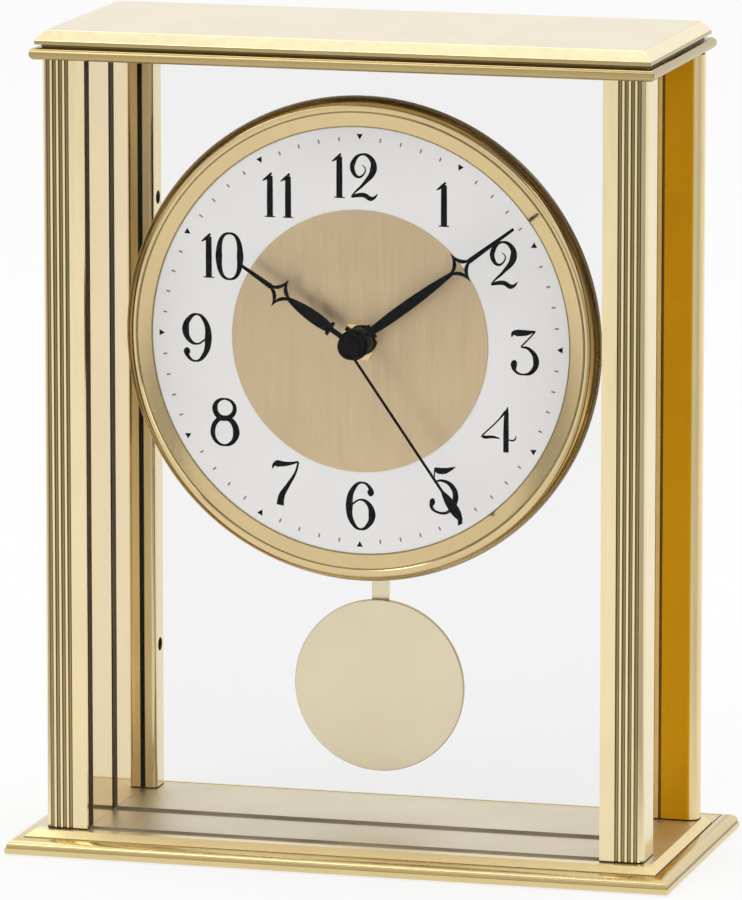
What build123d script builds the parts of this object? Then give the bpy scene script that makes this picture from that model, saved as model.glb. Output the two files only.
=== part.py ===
from build123d import *
import math
import os

# Desk pendulum clock. Millimetres, +Z up, front towards -Y, origin under the middle of the base.

# Case sizes
POST_SPAN_W = 168.0       # width over the posts
POST_SPAN_D = 68.0        # depth over the posts
POST_SIDE = 12.0          # square section of a front post
POST_H = 211.9            # free length of a post
POST_CORNER_R = 2.5       # round on the outer fluted corner
POST_BORE_R = 2.5         # bore for the tie rod
FLUTE_COUNT = 4
FLUTE_FIRST = 4.7         # first flute from the inner edge
FLUTE_PITCH = 1.75
FLUTE_R = 0.45
FLUTE_SINK = 0.1          # flute centre below the face
REAR_AT = 54.5            # front face of a rear post behind the front of the case
REAR_D = 7.0              # a rear post is a flat bar
REAR_IN = 3.2             # its inner edge inside the front posts
REAR_OUT = 2.3            # its outer edge outside the front posts
REAR_NOSE_R = 3.2         # round outer edge
REAR_INNER_R = 1.5        # round on the corner that looks into the case
CROSS_HOLE_R = 1.9        # side holes of the rear posts
CROSS_HOLE_DEPTH = 4.5
CROSS_HOLE_LOW = 40.6     # heights above the case floor
CROSS_HOLE_HIGH = 166.6
CROSS_HOLE_BACK = 3.1     # from the rear face

# Base sizes
BASE_OVERHANG = 9.0
FOOT_R = 7.0
FOOT_T = 1.5
FOOT_PROUD = 0.5
FOOT_INSET_X = 34.0       # foot centre from the base end
FOOT_INSET_Y = 20.0       # foot centre from the base front
RIM_H = 1.5
STEP_H = 0.8
STEP_IN = 0.4
OVOLO_H = 1.7
OVOLO_W = 3.6
OVOLO_BULGE = 0.62        # how far the round stands out from its chord
QUIRK_H = 0.3
QUIRK_W = 0.4
SLOPE_H = 1.6
SLOPE_W = 2.2
BACK_STEP = 0.7           # step of the floor behind the rear posts

# Top sizes
PLATE_OVERHANG = 2.5
PLATE_T = 3.2
PLATE_NOSE_R = 1.45
SLAB_INSET = 1.2          # slab edge inside the plate edge
SHADOW_H = 0.5            # narrow gap under the slab edge
SHADOW_IN = 1.6
BAND_H = 1.2
BEVEL_H = 3.0
BEVEL_W = 2.6

# Tie rods and screws
TIE_R = 2.0
TIE_END = 0.6             # rod end short of the nut face
NUT_R = 3.6
NUT_T = 2.4
NUT_PLAY = 0.4            # room round a nut in its pocket
SLAB_SCREW_X = 45.0
SLAB_SCREW_Y = 18.0
SLAB_SCREW_R = 1.5
SLAB_SCREW_BITE = 2.6
SCREW_HEAD_R = 2.8
SCREW_HEAD_T = 1.4

# Panels and panes
PANEL_INSET = 0.8         # panel inner face outside the post inner face
PANEL_T = 1.2
PANEL_BITE = 1.5          # depth held in the groove of a rear post
PANEL_GAP = 0.5           # open gap of that groove on the inner side
FRONT_GLASS_T = 3.0
FRONT_GLASS_LIP = 1.2     # post lip in front of the pane
CARRIER_T = 4.0
CARRIER_BACK = 26.0       # carrier pane front face behind the post front
CARRIER_HOLE_R = 4.3
STRIP_D = 3.8             # dark strip between the front pane and a panel
PANE_SINK = 1.0           # pane edge let into base and top
PANE_PLAY = 0.05

# Dial sizes
DIAL_Z = 142.0            # height of the hand axis
DIAL_PAN_D = 6.2          # dial back to pane
DIAL_T = 0.8
DIAL_CENTRE_R = 35.9
DIAL_CENTRE_T = 0.3
DIAL_HOLE_R = 4.2
PAN_FLOOR_T = 1.0
PAN_RIM_T = 2.5
PAN_BOSS_R = 9.0
BEZEL_LIP_T = 0.25
BEZEL_RIDGE_H = 1.1       # ridge in front of the dial face
BEZEL_OUTER_R = 66.4
BEZEL_WALL = 6.3          # ring outside the dial
BEZEL_COVER = 1.6         # lip over the dial edge
BEZEL_ROUND = 2.7         # ridge to the outer side
BEZEL_SHOULDER = 3.6      # shoulder behind the dial face
BEZEL_BORE_PLAY = 0.1
DIAL_NUT_R = 5.6
DIAL_NUT_T = 1.6

# Hand sizes
HAND_T = 0.5
HAND_LIFT = 6.25          # hour hand in front of the dial face
HAND_STEP = 2.5           # free space between one hand and the next
ANGLE_HOUR_REST = 303.0
ANGLE_MINUTE_REST = 53.2
ANGLE_SECOND_REST = 145.0
BOSS_L = 2.0              # tube behind each hand
HOUR_LENGTH = 37.5
HOUR_HUB_R = 4.2
HOUR_BOSS_R = 3.6
MINUTE_LENGTH = 56.5
MINUTE_HUB_R = 3.6
MINUTE_BOSS_R = 2.7
SECOND_LENGTH = 55.8
SECOND_HUB_R = 2.6
SECOND_BOSS_R = 1.5
SECOND_CAP_R = 1.9
SECOND_CAP_T = 0.45
SECOND_LINE_W = 0.7
SECOND_SPEAR = 9.6
SECOND_SPEAR_W = 2.7
LINE_W = 1.4              # neck of a hand
COLLAR_T = 1.0
COLLAR_W = 4.0
HOUR_COLLAR_AT = 7.8
HOUR_LEAF_AT = 12.6
HOUR_LEAF_W = 3.5
HOUR_LOZENGE_AT = 24.5
MINUTE_COLLAR_AT = 7.4
MINUTE_LEAF_AT = 17.5
MINUTE_LEAF_W = 3.0
MINUTE_LOZENGE_AT = 38.2
LEAF_FOOT = 0.7           # leaf width at its collar, share of its full width
LOZENGE_L = 8.8
LOZENGE_W = 9.2
LOZENGE_HOLLOW = 0.34     # concave side, as a share of the half sizes
LOZENGE_OPEN = 0.54       # open inside, as a share of the outline
HAND_TIP_W = 0.8

# Movement case sizes
CASE_W = 62.0
CASE_UP = 42.0            # case top above the hand axis
CASE_DOWN = 46.0          # case bottom below the hand axis
CASE_D = 16.5             # front face to the cover seat
CASE_WALL = 1.5
COVER_T = 1.5
BAY_UP = 20.0             # battery bay partition above the hand axis
BUSH_R = 4.0
BUSH_END = 0.5            # bush front past the dial nut
COVER_BOSS_R = 2.6
COVER_BOSS_IN = 5.0       # boss centre from the case side
COVER_BOSS_LOW = 5.0
COVER_BOSS_HIGH = 5.0
COVER_SCREW_R = 1.2
COVER_SCREW_BITE = 6.0
COVER_HEAD_R = 2.2
COVER_HEAD_T = 1.1

# Arbor sizes
RUN_PLAY = 0.05           # running fit on a radius
SECOND_ARBOR_R = 0.6
MINUTE_PIPE_R = 1.6
HOUR_PIPE_R = 2.6
PIVOT_R = 0.45
PIVOT_DEPTH = 0.8

# Wheel layers, measured back from the inside of the front wall
LAYER_HOUR = 0.7
LAYER_MINUTE_PINION = 2.2
LAYER_MINUTE = 4.1
LAYER_THIRD = 6.4
LAYER_PLATE = 7.7
LAYER_SECOND = 9.5
LAYER_INTERMEDIATE = 11.1
LAYER_BRIDGE = 12.5
WHEEL_T = 0.7
PINION_T = 1.2
PLATE_SHEET = 0.8

# Wheel train
MOD_ROTOR = 0.3
MOD_SECOND = 0.35
MOD_THIRD = 0.3
MOD_MOTION = 0.4
ANGLE_INTERMEDIATE = -20.0
ANGLE_ROTOR = 10.0
ANGLE_THIRD = 150.0
ANGLE_MOTION = -60.0
TOOTH_ROOT = 0.235        # half tooth at the root, share of a pitch
TOOTH_TIP = 0.10          # half tooth at the tip, share of a pitch
TOOTH_UP = 0.8            # tip above the pitch line, in modules
TOOTH_DOWN = 1.15         # root below the pitch line, in modules
PILLAR_R = 2.0
PILLAR_SCREW_R = 0.9
PILLAR_SCREW_BITE = 5.0
PILLAR_HEAD_R = 1.6
PILLAR_HEAD_T = 0.8
STUD_R = 0.8
PILLAR_LEFT_X = 17.5      # pillar places, from the hand axis
PILLAR_LEFT_DOWN = 9.0
PILLAR_TOP_X = 14.0
PILLAR_TOP_UP = 14.0
PILLAR_RIGHT_X = 17.0
PILLAR_RIGHT_DOWN = 13.0
TRAIN_HALF_W = 20.5
TRAIN_DOWN = 15.8
TRAIN_UP = 17.5

# Motor sizes
ROTOR_R = 2.4
ROTOR_T = 1.6
STATOR_T = 1.0
STATOR_HOLE_R = 3.0
STATOR_HALF = 4.2
STATOR_ARM_IN = 1.5
STATOR_GAP = 0.6
CORE_END = 4.4
CORE_T = 1.2
CORE_W = 3.0
MOTOR_COIL_R = 3.3
MOTOR_COIL_L = 7.0
MOTOR_COIL_X = 24.6

# Battery sizes
CELL_R = 7.1
CELL_L = 49.2
NUB_R = 2.7
NUB_L = 1.2
CONTACT_T = 0.5
CONTACT_W = 9.0
CONTACT_DROP = 3.0        # touch leaf below the cell axis
CONTACT_IN = 1.5          # touch leaf inside the plate edge
CELL_PLAY = 0.1

# Board and antenna sizes
BOARD_W = 44.0
BOARD_H = 18.0
BOARD_T = 1.0
BOARD_UP = 0.6            # board edge above the case bottom
BOARD_POST_H = 1.0
BOARD_POST_R = 1.8
SWITCH_SIDE = 6.0
SWITCH_T = 1.4
FERRITE_R = 2.4
FERRITE_L = 26.0
ANTENNA_COIL_R = 3.3
ANTENNA_COIL_L = 15.0
ANTENNA_X = -25.0
ANTENNA_DROP = 4.0        # antenna middle below the hand axis
ANTENNA_BACK = 6.0        # antenna axis behind the front wall
SADDLE_HALF = 3.0
SADDLE_GAP = 2.5          # saddle middle past the winding
SADDLE_T = 2.4

# Button sizes
BUTTON_R = 2.2
BUTTON_PROUD = 1.1
BUTTON_FLANGE_R = 3.0
BUTTON_FLANGE_T = 0.8
BUTTON_STEM_R = 1.2
BUTTON_TRAVEL = 0.8
BUTTON_PLAY = 0.08
BUTTON_X = 17.0

# Pendulum sizes
PIVOT_DOWN = 20.0         # pendulum pin below the hand axis
PIN_R = 0.8
PIN_BOSS_R = 2.4
ARM_HUB_R = 3.0
ARM_HUB_T = 4.0
ARM_HUB_AT = 8.6          # hub front behind the front wall
ARM_SIDE_PLAY = 0.3
ARM_W = 5.0
ARM_T = 2.0
ARM_END = 34.0            # arm end below the pin
PEG_UP = 2.4              # peg above the arm end
PEG_R = 1.0
PEG_PLAY = 0.05
PEG_PAST = 0.5            # peg end in front of the rod
MAGNET_R = 5.0
MAGNET_T = 2.0
MAGNET_DOWN = 18.0
DRIVE_COIL_R = 6.0
DRIVE_COIL_HOLE_R = 2.0
DRIVE_COIL_T = 3.0
ARM_SLOT_HALF = 9.0
ARM_SLOT_PLAY = 2.5       # slot in front of the arm
ROD_W = 5.0
ROD_T = 0.8
ROD_TOP = 3.4             # rod end above the peg
BOB_Z = 43.0
BOB_R = 24.0
BOB_T = 1.8
BOB_EDGE = 0.35
ROD_PAST = 6.0            # rod end below the bob middle
CLIP_W = 14.0
CLIP_H = 10.0
CLIP_T = 0.9
CLIP_PLAY = 0.03

# Levels that follow from the sizes
DIAL_R = BEZEL_OUTER_R - BEZEL_WALL - BEZEL_BORE_PLAY
DIAL_SHOW_R = DIAL_R - BEZEL_COVER
BEZEL_RIDGE_R = BEZEL_OUTER_R - BEZEL_ROUND
BASE_T = RIM_H + STEP_H + OVOLO_H + QUIRK_H + SLOPE_H
BASE_W = POST_SPAN_W + 2 * BASE_OVERHANG
BASE_D = POST_SPAN_D + 2 * BASE_OVERHANG
FOOT_X = BASE_W / 2 - FOOT_INSET_X
FOOT_Y = BASE_D / 2 - FOOT_INSET_Y
Z_FLOOR = FOOT_PROUD + BASE_T
Z_CEIL = Z_FLOOR + POST_H
Z_PLATE = Z_CEIL + PLATE_T
SLAB_T = SHADOW_H + BAND_H + BEVEL_H
POST_CX = (POST_SPAN_W - POST_SIDE) / 2
POST_CY = (POST_SPAN_D - POST_SIDE) / 2
POST_IN_X = POST_SPAN_W / 2 - POST_SIDE
REAR_X0 = POST_IN_X - REAR_IN
REAR_X1 = POST_SPAN_W / 2 + REAR_OUT
REAR_CX = (REAR_X0 + REAR_X1) / 2
PANEL_X = POST_IN_X + PANEL_INSET
Y_FRONT = -POST_SPAN_D / 2
Y_BAR = Y_FRONT + REAR_AT
REAR_CY = Y_BAR + REAR_D / 2
Y_CARRIER = Y_FRONT + CARRIER_BACK
Y_MOVE = Y_CARRIER + CARRIER_T
Y_PAN = Y_CARRIER - DIAL_PAN_D
Y_DIAL = Y_PAN - DIAL_T
Y_CENTRE = Y_DIAL - DIAL_CENTRE_T
Y_NUT = Y_CENTRE - DIAL_NUT_T
Y_BUSH = Y_NUT - BUSH_END
Y_HOUR = Y_DIAL - HAND_LIFT
Y_MINUTE = Y_HOUR - HAND_T - HAND_STEP
Y_SECOND = Y_MINUTE - HAND_T - HAND_STEP
Y_WALL = Y_MOVE + CASE_WALL
Y_SEAT = Y_MOVE + CASE_D
Y_REAR = Y_SEAT + COVER_T
CASE_X = CASE_W / 2
CASE_Z0 = DIAL_Z - CASE_DOWN
CASE_Z1 = DIAL_Z + CASE_UP
BAY_Z = DIAL_Z + BAY_UP
PIVOT_Z = DIAL_Z - PIVOT_DOWN
Y_ARM_HUB = Y_WALL + ARM_HUB_AT
Y_ARM = Y_ARM_HUB + (ARM_HUB_T - ARM_T) / 2
Y_ROD = Y_ARM - ROD_T
Y_BOB = Y_ROD - BOB_T
ARM_Z = PIVOT_Z - ARM_END
PEG_Z = ARM_Z + PEG_UP
MAGNET_Z = PIVOT_Z - MAGNET_DOWN
BOARD_Z = CASE_Z0 + CASE_WALL + BOARD_UP
Y_BOARD = Y_WALL + BOARD_POST_H
Y_PLATE = Y_WALL + LAYER_PLATE
Y_BRIDGE = Y_WALL + LAYER_BRIDGE
CELL_Y = Y_WALL + CELL_R + CELL_PLAY
CELL_Z = (BAY_Z + CASE_WALL + CASE_Z1 - CASE_WALL) / 2

# Wheel axes
D_SECOND = MOD_SECOND * (8 + 40) / 2
D_ROTOR = MOD_ROTOR * (8 + 48) / 2
D_THIRD = MOD_THIRD * (8 + 60) / 2
D_MOTION = MOD_MOTION * (12 + 36) / 2
MOD_MINUTE = 2 * D_THIRD / (8 + 64)
MOD_HOUR = 2 * D_MOTION / (10 + 40)


def offset_axis(x, z, angle, distance):
    turn = math.radians(angle)
    return x + distance * math.cos(turn), z + distance * math.sin(turn)


INTER_X, INTER_Z = offset_axis(0, DIAL_Z, ANGLE_INTERMEDIATE, D_SECOND)
ROTOR_X, ROTOR_Z = offset_axis(INTER_X, INTER_Z, ANGLE_ROTOR, D_ROTOR)
THIRD_X, THIRD_Z = offset_axis(0, DIAL_Z, ANGLE_THIRD, D_THIRD)
MOTION_X, MOTION_Z = offset_axis(0, DIAL_Z, ANGLE_MOTION, D_MOTION)
PILLARS = [
    (-PILLAR_LEFT_X, DIAL_Z - PILLAR_LEFT_DOWN),
    (PILLAR_TOP_X, DIAL_Z + PILLAR_TOP_UP),
    (PILLAR_RIGHT_X, DIAL_Z - PILLAR_RIGHT_DOWN),
]


# Small helpers
def block(x0, x1, y0, y1, z0, z1):
    place = Pos((x0 + x1) / 2, (y0 + y1) / 2, (z0 + z1) / 2)
    return place * Box(x1 - x0, y1 - y0, z1 - z0)


def rod_x(y, z, r, x0, x1):
    return Pos((x0 + x1) / 2, y, z) * Rot(0, 90, 0) * Cylinder(r, x1 - x0)


def rod_y(x, z, r, y0, y1):
    return Pos(x, (y0 + y1) / 2, z) * Rot(90, 0, 0) * Cylinder(r, y1 - y0)


def rod_z(x, y, r, z0, z1):
    return Pos(x, y, (z0 + z1) / 2) * Cylinder(r, z1 - z0)


def sheet(sketch, y0, y1):
    return Pos(0, y1, 0) * extrude(Plane.XZ * sketch, y1 - y0)


def at_axis(x, z, sketch):
    return Pos(x, z) * sketch


NODES = {}


def keep(name, shape):
    shape.label = name
    NODES[name] = shape
    return shape


def keep_group(name, items):
    shape = Compound(children=list(items))
    shape.label = name
    NODES[name] = shape


# Base plate with a moulded edge, mitred at the corners
def moulding(half):
    z0 = FOOT_PROUD
    z1 = z0 + RIM_H
    z2 = z1 + STEP_H
    z3 = z2 + OVOLO_H
    z4 = z3 + QUIRK_H
    x1 = half - STEP_IN
    x2 = x1 - OVOLO_W
    x3 = x2 - QUIRK_W
    x4 = x3 - SLOPE_W
    mid = ((x1 + x2) / 2 + OVOLO_BULGE * 0.45, (z2 + z3) / 2 + OVOLO_BULGE * 0.9)
    right = [
        Line((0, z0), (half, z0)),
        Line((half, z0), (half, z1)),
        Line((half, z1), (x1, z1)),
        Line((x1, z1), (x1, z2)),
        ThreePointArc((x1, z2), mid, (x2, z3)),
        Line((x2, z3), (x3, z3)),
        Line((x3, z3), (x3, z4)),
        Line((x3, z4), (x4, Z_FLOOR)),
        Line((x4, Z_FLOOR), (0, Z_FLOOR)),
        Line((0, Z_FLOOR), (0, z0)),
    ]
    face = make_face(right)
    return face + mirror(face, Plane.YZ)


def pane_groove(half_x, y0, y1, z0, z1):
    return block(-half_x - PANE_PLAY, half_x + PANE_PLAY, y0 - PANE_PLAY, y1 + PANE_PLAY, z0, z1)


FRONT_GLASS_Y = Y_FRONT + FRONT_GLASS_LIP
FRONT_GLASS_X = PANEL_X + PANEL_T
CARRIER_X = PANEL_X - 2 * PANE_PLAY
STRIP_Y = FRONT_GLASS_Y + FRONT_GLASS_T
CORNERS = [(sx, sy) for sx in (-1, 1) for sy in (-1, 1)]
TIE_SPOTS = [(sx * POST_CX, -POST_CY) for sx in (-1, 1)] + [(sx * REAR_CX, REAR_CY) for sx in (-1, 1)]


def base_plate():
    wide = extrude(Plane.XZ * moulding(BASE_W / 2), BASE_D / 2, both=True)
    deep = extrude(Plane.YZ * moulding(BASE_D / 2), BASE_W / 2, both=True)
    body = wide & deep
    body -= pane_groove(FRONT_GLASS_X, FRONT_GLASS_Y, FRONT_GLASS_Y + FRONT_GLASS_T, Z_FLOOR - PANE_SINK, Z_CEIL)
    body -= pane_groove(CARRIER_X, Y_CARRIER, Y_MOVE, Z_FLOOR - PANE_SINK, Z_CEIL)
    z_step = Z_FLOOR - SLOPE_H - QUIRK_H
    body -= block(-BASE_W / 2, BASE_W / 2, Y_BAR + REAR_D + BACK_STEP, BASE_D / 2, z_step, Z_FLOOR)
    for x, y in TIE_SPOTS:
        body -= rod_z(x, y, TIE_R + NUT_PLAY / 2, FOOT_PROUD, Z_FLOOR)
        body -= rod_z(x, y, NUT_R + NUT_PLAY, FOOT_PROUD, FOOT_PROUD + NUT_T)
    for sx, sy in CORNERS:
        body -= rod_z(sx * FOOT_X, sy * FOOT_Y, FOOT_R, 0, FOOT_T)
    return body


def felt_feet():
    feet = []
    for sx, sy in CORNERS:
        feet.append(rod_z(sx * FOOT_X, sy * FOOT_Y, FOOT_R, 0, FOOT_T))
    return feet


# Top plate with a round nose and the bevelled slab on it
def top_plate():
    w = POST_SPAN_W + 2 * PLATE_OVERHANG
    d = POST_SPAN_D + 2 * PLATE_OVERHANG
    body = block(-w / 2, w / 2, -d / 2, d / 2, Z_CEIL, Z_PLATE)
    long_edges = body.edges().filter_by(Axis.Z, reverse=True)
    body = fillet(long_edges, PLATE_NOSE_R)
    body -= pane_groove(FRONT_GLASS_X, FRONT_GLASS_Y, FRONT_GLASS_Y + FRONT_GLASS_T, Z_FLOOR, Z_CEIL + PANE_SINK)
    body -= pane_groove(CARRIER_X, Y_CARRIER, Y_MOVE, Z_FLOOR, Z_CEIL + PANE_SINK)
    for x, y in TIE_SPOTS:
        body -= rod_z(x, y, TIE_R + NUT_PLAY / 2, Z_CEIL, Z_PLATE)
        body -= rod_z(x, y, NUT_R + NUT_PLAY, Z_PLATE - NUT_T, Z_PLATE)
    for sx, sy in CORNERS:
        body -= rod_z(sx * SLAB_SCREW_X, sy * SLAB_SCREW_Y, SLAB_SCREW_R + PANE_PLAY, Z_CEIL, Z_PLATE)
    return body


def top_slab():
    w = POST_SPAN_W + 2 * PLATE_OVERHANG - 2 * SLAB_INSET
    d = POST_SPAN_D + 2 * PLATE_OVERHANG - 2 * SLAB_INSET
    body = bevelled(w, d)
    foot = block(-w / 2, w / 2, -d / 2, d / 2, Z_PLATE, Z_PLATE + SHADOW_H)
    w2 = w / 2 - SHADOW_IN
    d2 = d / 2 - SHADOW_IN
    body -= foot - block(-w2, w2, -d2, d2, Z_PLATE, Z_PLATE + SHADOW_H)
    for sx, sy in CORNERS:
        top = Z_PLATE + SLAB_SCREW_BITE
        body -= rod_z(sx * SLAB_SCREW_X, sy * SLAB_SCREW_Y, SLAB_SCREW_R, Z_PLATE, top)
    return body


def bevelled(w, d):
    z1 = Z_PLATE + SLAB_T - BEVEL_H
    body = block(-w / 2, w / 2, -d / 2, d / 2, Z_PLATE, z1)
    low = Pos(0, 0, z1) * Rectangle(w, d)
    high = Pos(0, 0, Z_PLATE + SLAB_T) * Rectangle(w - 2 * BEVEL_W, d - 2 * BEVEL_W)
    return body + loft([low, high], ruled=True)


# Fluted front posts with a rebate for pane, strip and panel
def front_post():
    half = POST_SIDE / 2
    face = Rectangle(POST_SIDE, POST_SIDE)
    outer = face.vertices().sort_by(Axis.X)[-2:].sort_by(Axis.Y)[0]
    face = fillet(outer, POST_CORNER_R)
    for k in range(FLUTE_COUNT):
        x = -half + FLUTE_FIRST + k * FLUTE_PITCH
        face -= Pos(x, -half + FLUTE_SINK) * Circle(FLUTE_R)
    face -= Circle(POST_BORE_R)
    rebate_w = PANEL_INSET + PANEL_T + PANE_PLAY
    rebate_d = POST_SIDE - FRONT_GLASS_LIP + PANE_PLAY
    face -= Pos(-half + rebate_w / 2, half - rebate_d / 2) * Rectangle(rebate_w, rebate_d)
    body = extrude(Pos(0, 0, Z_FLOOR) * face, POST_H)
    return Pos(POST_CX, -POST_CY, 0) * body


# Flat rear posts with a round outer edge
def rear_post():
    face = Rectangle(REAR_X1 - REAR_X0, REAR_D)
    outer = face.vertices().sort_by(Axis.X)[-2:]
    face = fillet(outer, REAR_NOSE_R)
    inner = face.vertices().sort_by(Axis.X)[:2].sort_by(Axis.Y)[0]
    face = fillet(inner, REAR_INNER_R)
    face -= Circle(POST_BORE_R)
    groove_w = PANEL_GAP + PANEL_T + PANE_PLAY
    groove_x = PANEL_X + PANEL_T + PANE_PLAY - groove_w / 2 - REAR_CX
    face -= Pos(groove_x, -REAR_D / 2) * Rectangle(groove_w, 2 * (PANEL_BITE + PANE_PLAY))
    body = Pos(REAR_CX, REAR_CY, 0) * extrude(Pos(0, 0, Z_FLOOR) * face, POST_H)
    y = Y_BAR + REAR_D - CROSS_HOLE_BACK
    for up in (CROSS_HOLE_LOW, CROSS_HOLE_HIGH):
        body -= rod_x(y, Z_FLOOR + up, CROSS_HOLE_R, REAR_X0, REAR_X0 + CROSS_HOLE_DEPTH)
    return body


# Tie rods, nuts and slab screws
def hexagon(x, y, z0, z1):
    face = RegularPolygon(NUT_R, 6) - Circle(TIE_R + CLIP_PLAY)
    return Pos(x, y, z0) * extrude(face, z1 - z0)


def tie_parts():
    rods = []
    low = []
    high = []
    for x, y in TIE_SPOTS:
        rods.append(rod_z(x, y, TIE_R, FOOT_PROUD + TIE_END, Z_PLATE - TIE_END))
        low.append(hexagon(x, y, FOOT_PROUD + TIE_END / 2, FOOT_PROUD + NUT_T))
        high.append(hexagon(x, y, Z_PLATE - NUT_T, Z_PLATE - TIE_END / 2))
    return rods, low, high


def slab_screws():
    screws = []
    for sx, sy in CORNERS:
        x = sx * SLAB_SCREW_X
        y = sy * SLAB_SCREW_Y
        head = rod_z(x, y, SCREW_HEAD_R, Z_CEIL - SCREW_HEAD_T, Z_CEIL)
        shank = rod_z(x, y, SLAB_SCREW_R, Z_CEIL, Z_PLATE + SLAB_SCREW_BITE - TIE_END)
        screws.append(head + shank)
    return screws


# Side panels, panes and the dark strips behind the front pane
def side_panel():
    return block(PANEL_X, PANEL_X + PANEL_T, STRIP_Y + STRIP_D, Y_BAR + PANEL_BITE, Z_FLOOR, Z_CEIL)


def front_glass():
    y1 = FRONT_GLASS_Y + FRONT_GLASS_T
    z0 = Z_FLOOR - PANE_SINK
    z1 = Z_CEIL + PANE_SINK - 2 * PANE_PLAY
    return block(-FRONT_GLASS_X, FRONT_GLASS_X, FRONT_GLASS_Y, y1, z0, z1)


def carrier_glass():
    z0 = Z_FLOOR - PANE_SINK
    z1 = Z_CEIL + PANE_SINK - 2 * PANE_PLAY
    body = block(-CARRIER_X, CARRIER_X, Y_CARRIER, Y_MOVE, z0, z1)
    return body - rod_y(0, DIAL_Z, CARRIER_HOLE_R, Y_CARRIER, Y_MOVE)


def pane_strip():
    return block(PANEL_X, PANEL_X + PANEL_T, STRIP_Y, STRIP_Y + STRIP_D, Z_FLOOR, Z_CEIL)


# Dial pieces, turned about the hand axis
def bezel():
    bore = DIAL_R + BEZEL_BORE_PLAY
    y_lip = Y_DIAL - BEZEL_LIP_T
    y_ridge = Y_DIAL - BEZEL_RIDGE_H
    y_shoulder = Y_DIAL + BEZEL_SHOULDER
    r_mid = BEZEL_RIDGE_R + 0.72 * (BEZEL_OUTER_R - BEZEL_RIDGE_R)
    y_mid = y_ridge + 0.28 * (y_shoulder - y_ridge)
    lines = [
        Line((DIAL_SHOW_R, Y_DIAL), (DIAL_SHOW_R, y_lip)),
        Line((DIAL_SHOW_R, y_lip), (BEZEL_RIDGE_R, y_ridge)),
        ThreePointArc((BEZEL_RIDGE_R, y_ridge), (r_mid, y_mid), (BEZEL_OUTER_R, y_shoulder)),
        Line((BEZEL_OUTER_R, y_shoulder), (BEZEL_OUTER_R, Y_CARRIER)),
        Line((BEZEL_OUTER_R, Y_CARRIER), (bore, Y_CARRIER)),
        Line((bore, Y_CARRIER), (bore, Y_DIAL)),
        Line((bore, Y_DIAL), (DIAL_SHOW_R, Y_DIAL)),
    ]
    ring = revolve(make_face(lines), Axis.Y, 360)
    return Pos(0, 0, DIAL_Z) * ring


def dial_plate():
    body = rod_y(0, DIAL_Z, DIAL_R, Y_DIAL, Y_PAN)
    return body - rod_y(0, DIAL_Z, DIAL_HOLE_R, Y_DIAL, Y_PAN)


def dial_centre():
    body = rod_y(0, DIAL_Z, DIAL_CENTRE_R, Y_CENTRE, Y_DIAL)
    return body - rod_y(0, DIAL_Z, DIAL_HOLE_R, Y_CENTRE, Y_DIAL)


def dial_pan():
    y_floor = Y_CARRIER - PAN_FLOOR_T
    inner = DIAL_R - PAN_RIM_T
    body = rod_y(0, DIAL_Z, DIAL_R, Y_PAN, Y_CARRIER)
    body -= rod_y(0, DIAL_Z, inner, Y_PAN, y_floor) - rod_y(0, DIAL_Z, PAN_BOSS_R, Y_PAN, y_floor)
    return body - rod_y(0, DIAL_Z, DIAL_HOLE_R, Y_PAN, Y_CARRIER)


def dial_nut():
    face = RegularPolygon(DIAL_NUT_R, 6) - Circle(BUSH_R + CLIP_PLAY)
    return sheet(at_axis(0, DIAL_Z, face), Y_NUT, Y_CENTRE)


# Hands, drawn pointing up and turned to their rest angle
def leaf(y0, y1, y2, half, half0, half2):
    right = [
        TangentArc((half, y1), (half2, y2), tangent=(0, 1)),
        TangentArc((half, y1), (half0, y0), tangent=(0, -1)),
    ]
    left = [mirror(edge, Plane.YZ) for edge in right]
    ends = [Line((-half2, y2), (half2, y2)), Line((-half0, y0), (half0, y0))]
    return make_face(right + left + ends)


def lozenge(y, share):
    h = LOZENGE_L / 2 * share
    w = LOZENGE_W / 2 * share
    k = LOZENGE_HOLLOW
    corners = [(0, y - h), (w, y), (0, y + h), (-w, y)]
    mids = [(w * k, y - h * k), (w * k, y + h * k), (-w * k, y + h * k), (-w * k, y - h * k)]
    edges = []
    for n in range(4):
        edges.append(ThreePointArc(corners[n], mids[n], corners[(n + 1) % 4]))
    return make_face(edges)


def tip(y0, y1, w0, w1):
    return make_face(Polyline((-w0 / 2, y0), (w0 / 2, y0), (w1 / 2, y1), (-w1 / 2, y1), close=True))


def pointer(length, hub_r, collar_at, leaf_at, leaf_w, lozenge_at):
    foot = lozenge_at - LOZENGE_L / 2
    head = lozenge_at + LOZENGE_L / 2
    face = Circle(hub_r)
    face += tip(0, collar_at + COLLAR_T, LINE_W, LINE_W)
    face += Pos(0, collar_at) * Rectangle(COLLAR_W, COLLAR_T)
    face += leaf(collar_at, leaf_at, foot + LINE_W, leaf_w / 2, LEAF_FOOT * leaf_w / 2, LINE_W * 0.4)
    face += lozenge(lozenge_at, 1.0) - lozenge(lozenge_at, LOZENGE_OPEN)
    face += tip(head - LINE_W, length, LINE_W, HAND_TIP_W)
    return face


def hand(face, y1, angle, bore, boss_r):
    body = sheet(face - Circle(bore), y1 - HAND_T, y1)
    body += sheet(Circle(boss_r) - Circle(bore), y1, y1 + BOSS_L)
    return Pos(0, 0, DIAL_Z) * Rot(0, angle, 0) * body


def hour_hand():
    face = pointer(HOUR_LENGTH, HOUR_HUB_R, HOUR_COLLAR_AT, HOUR_LEAF_AT, HOUR_LEAF_W, HOUR_LOZENGE_AT)
    return hand(face, Y_HOUR, ANGLE_HOUR_REST, HOUR_PIPE_R, HOUR_BOSS_R)


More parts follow.
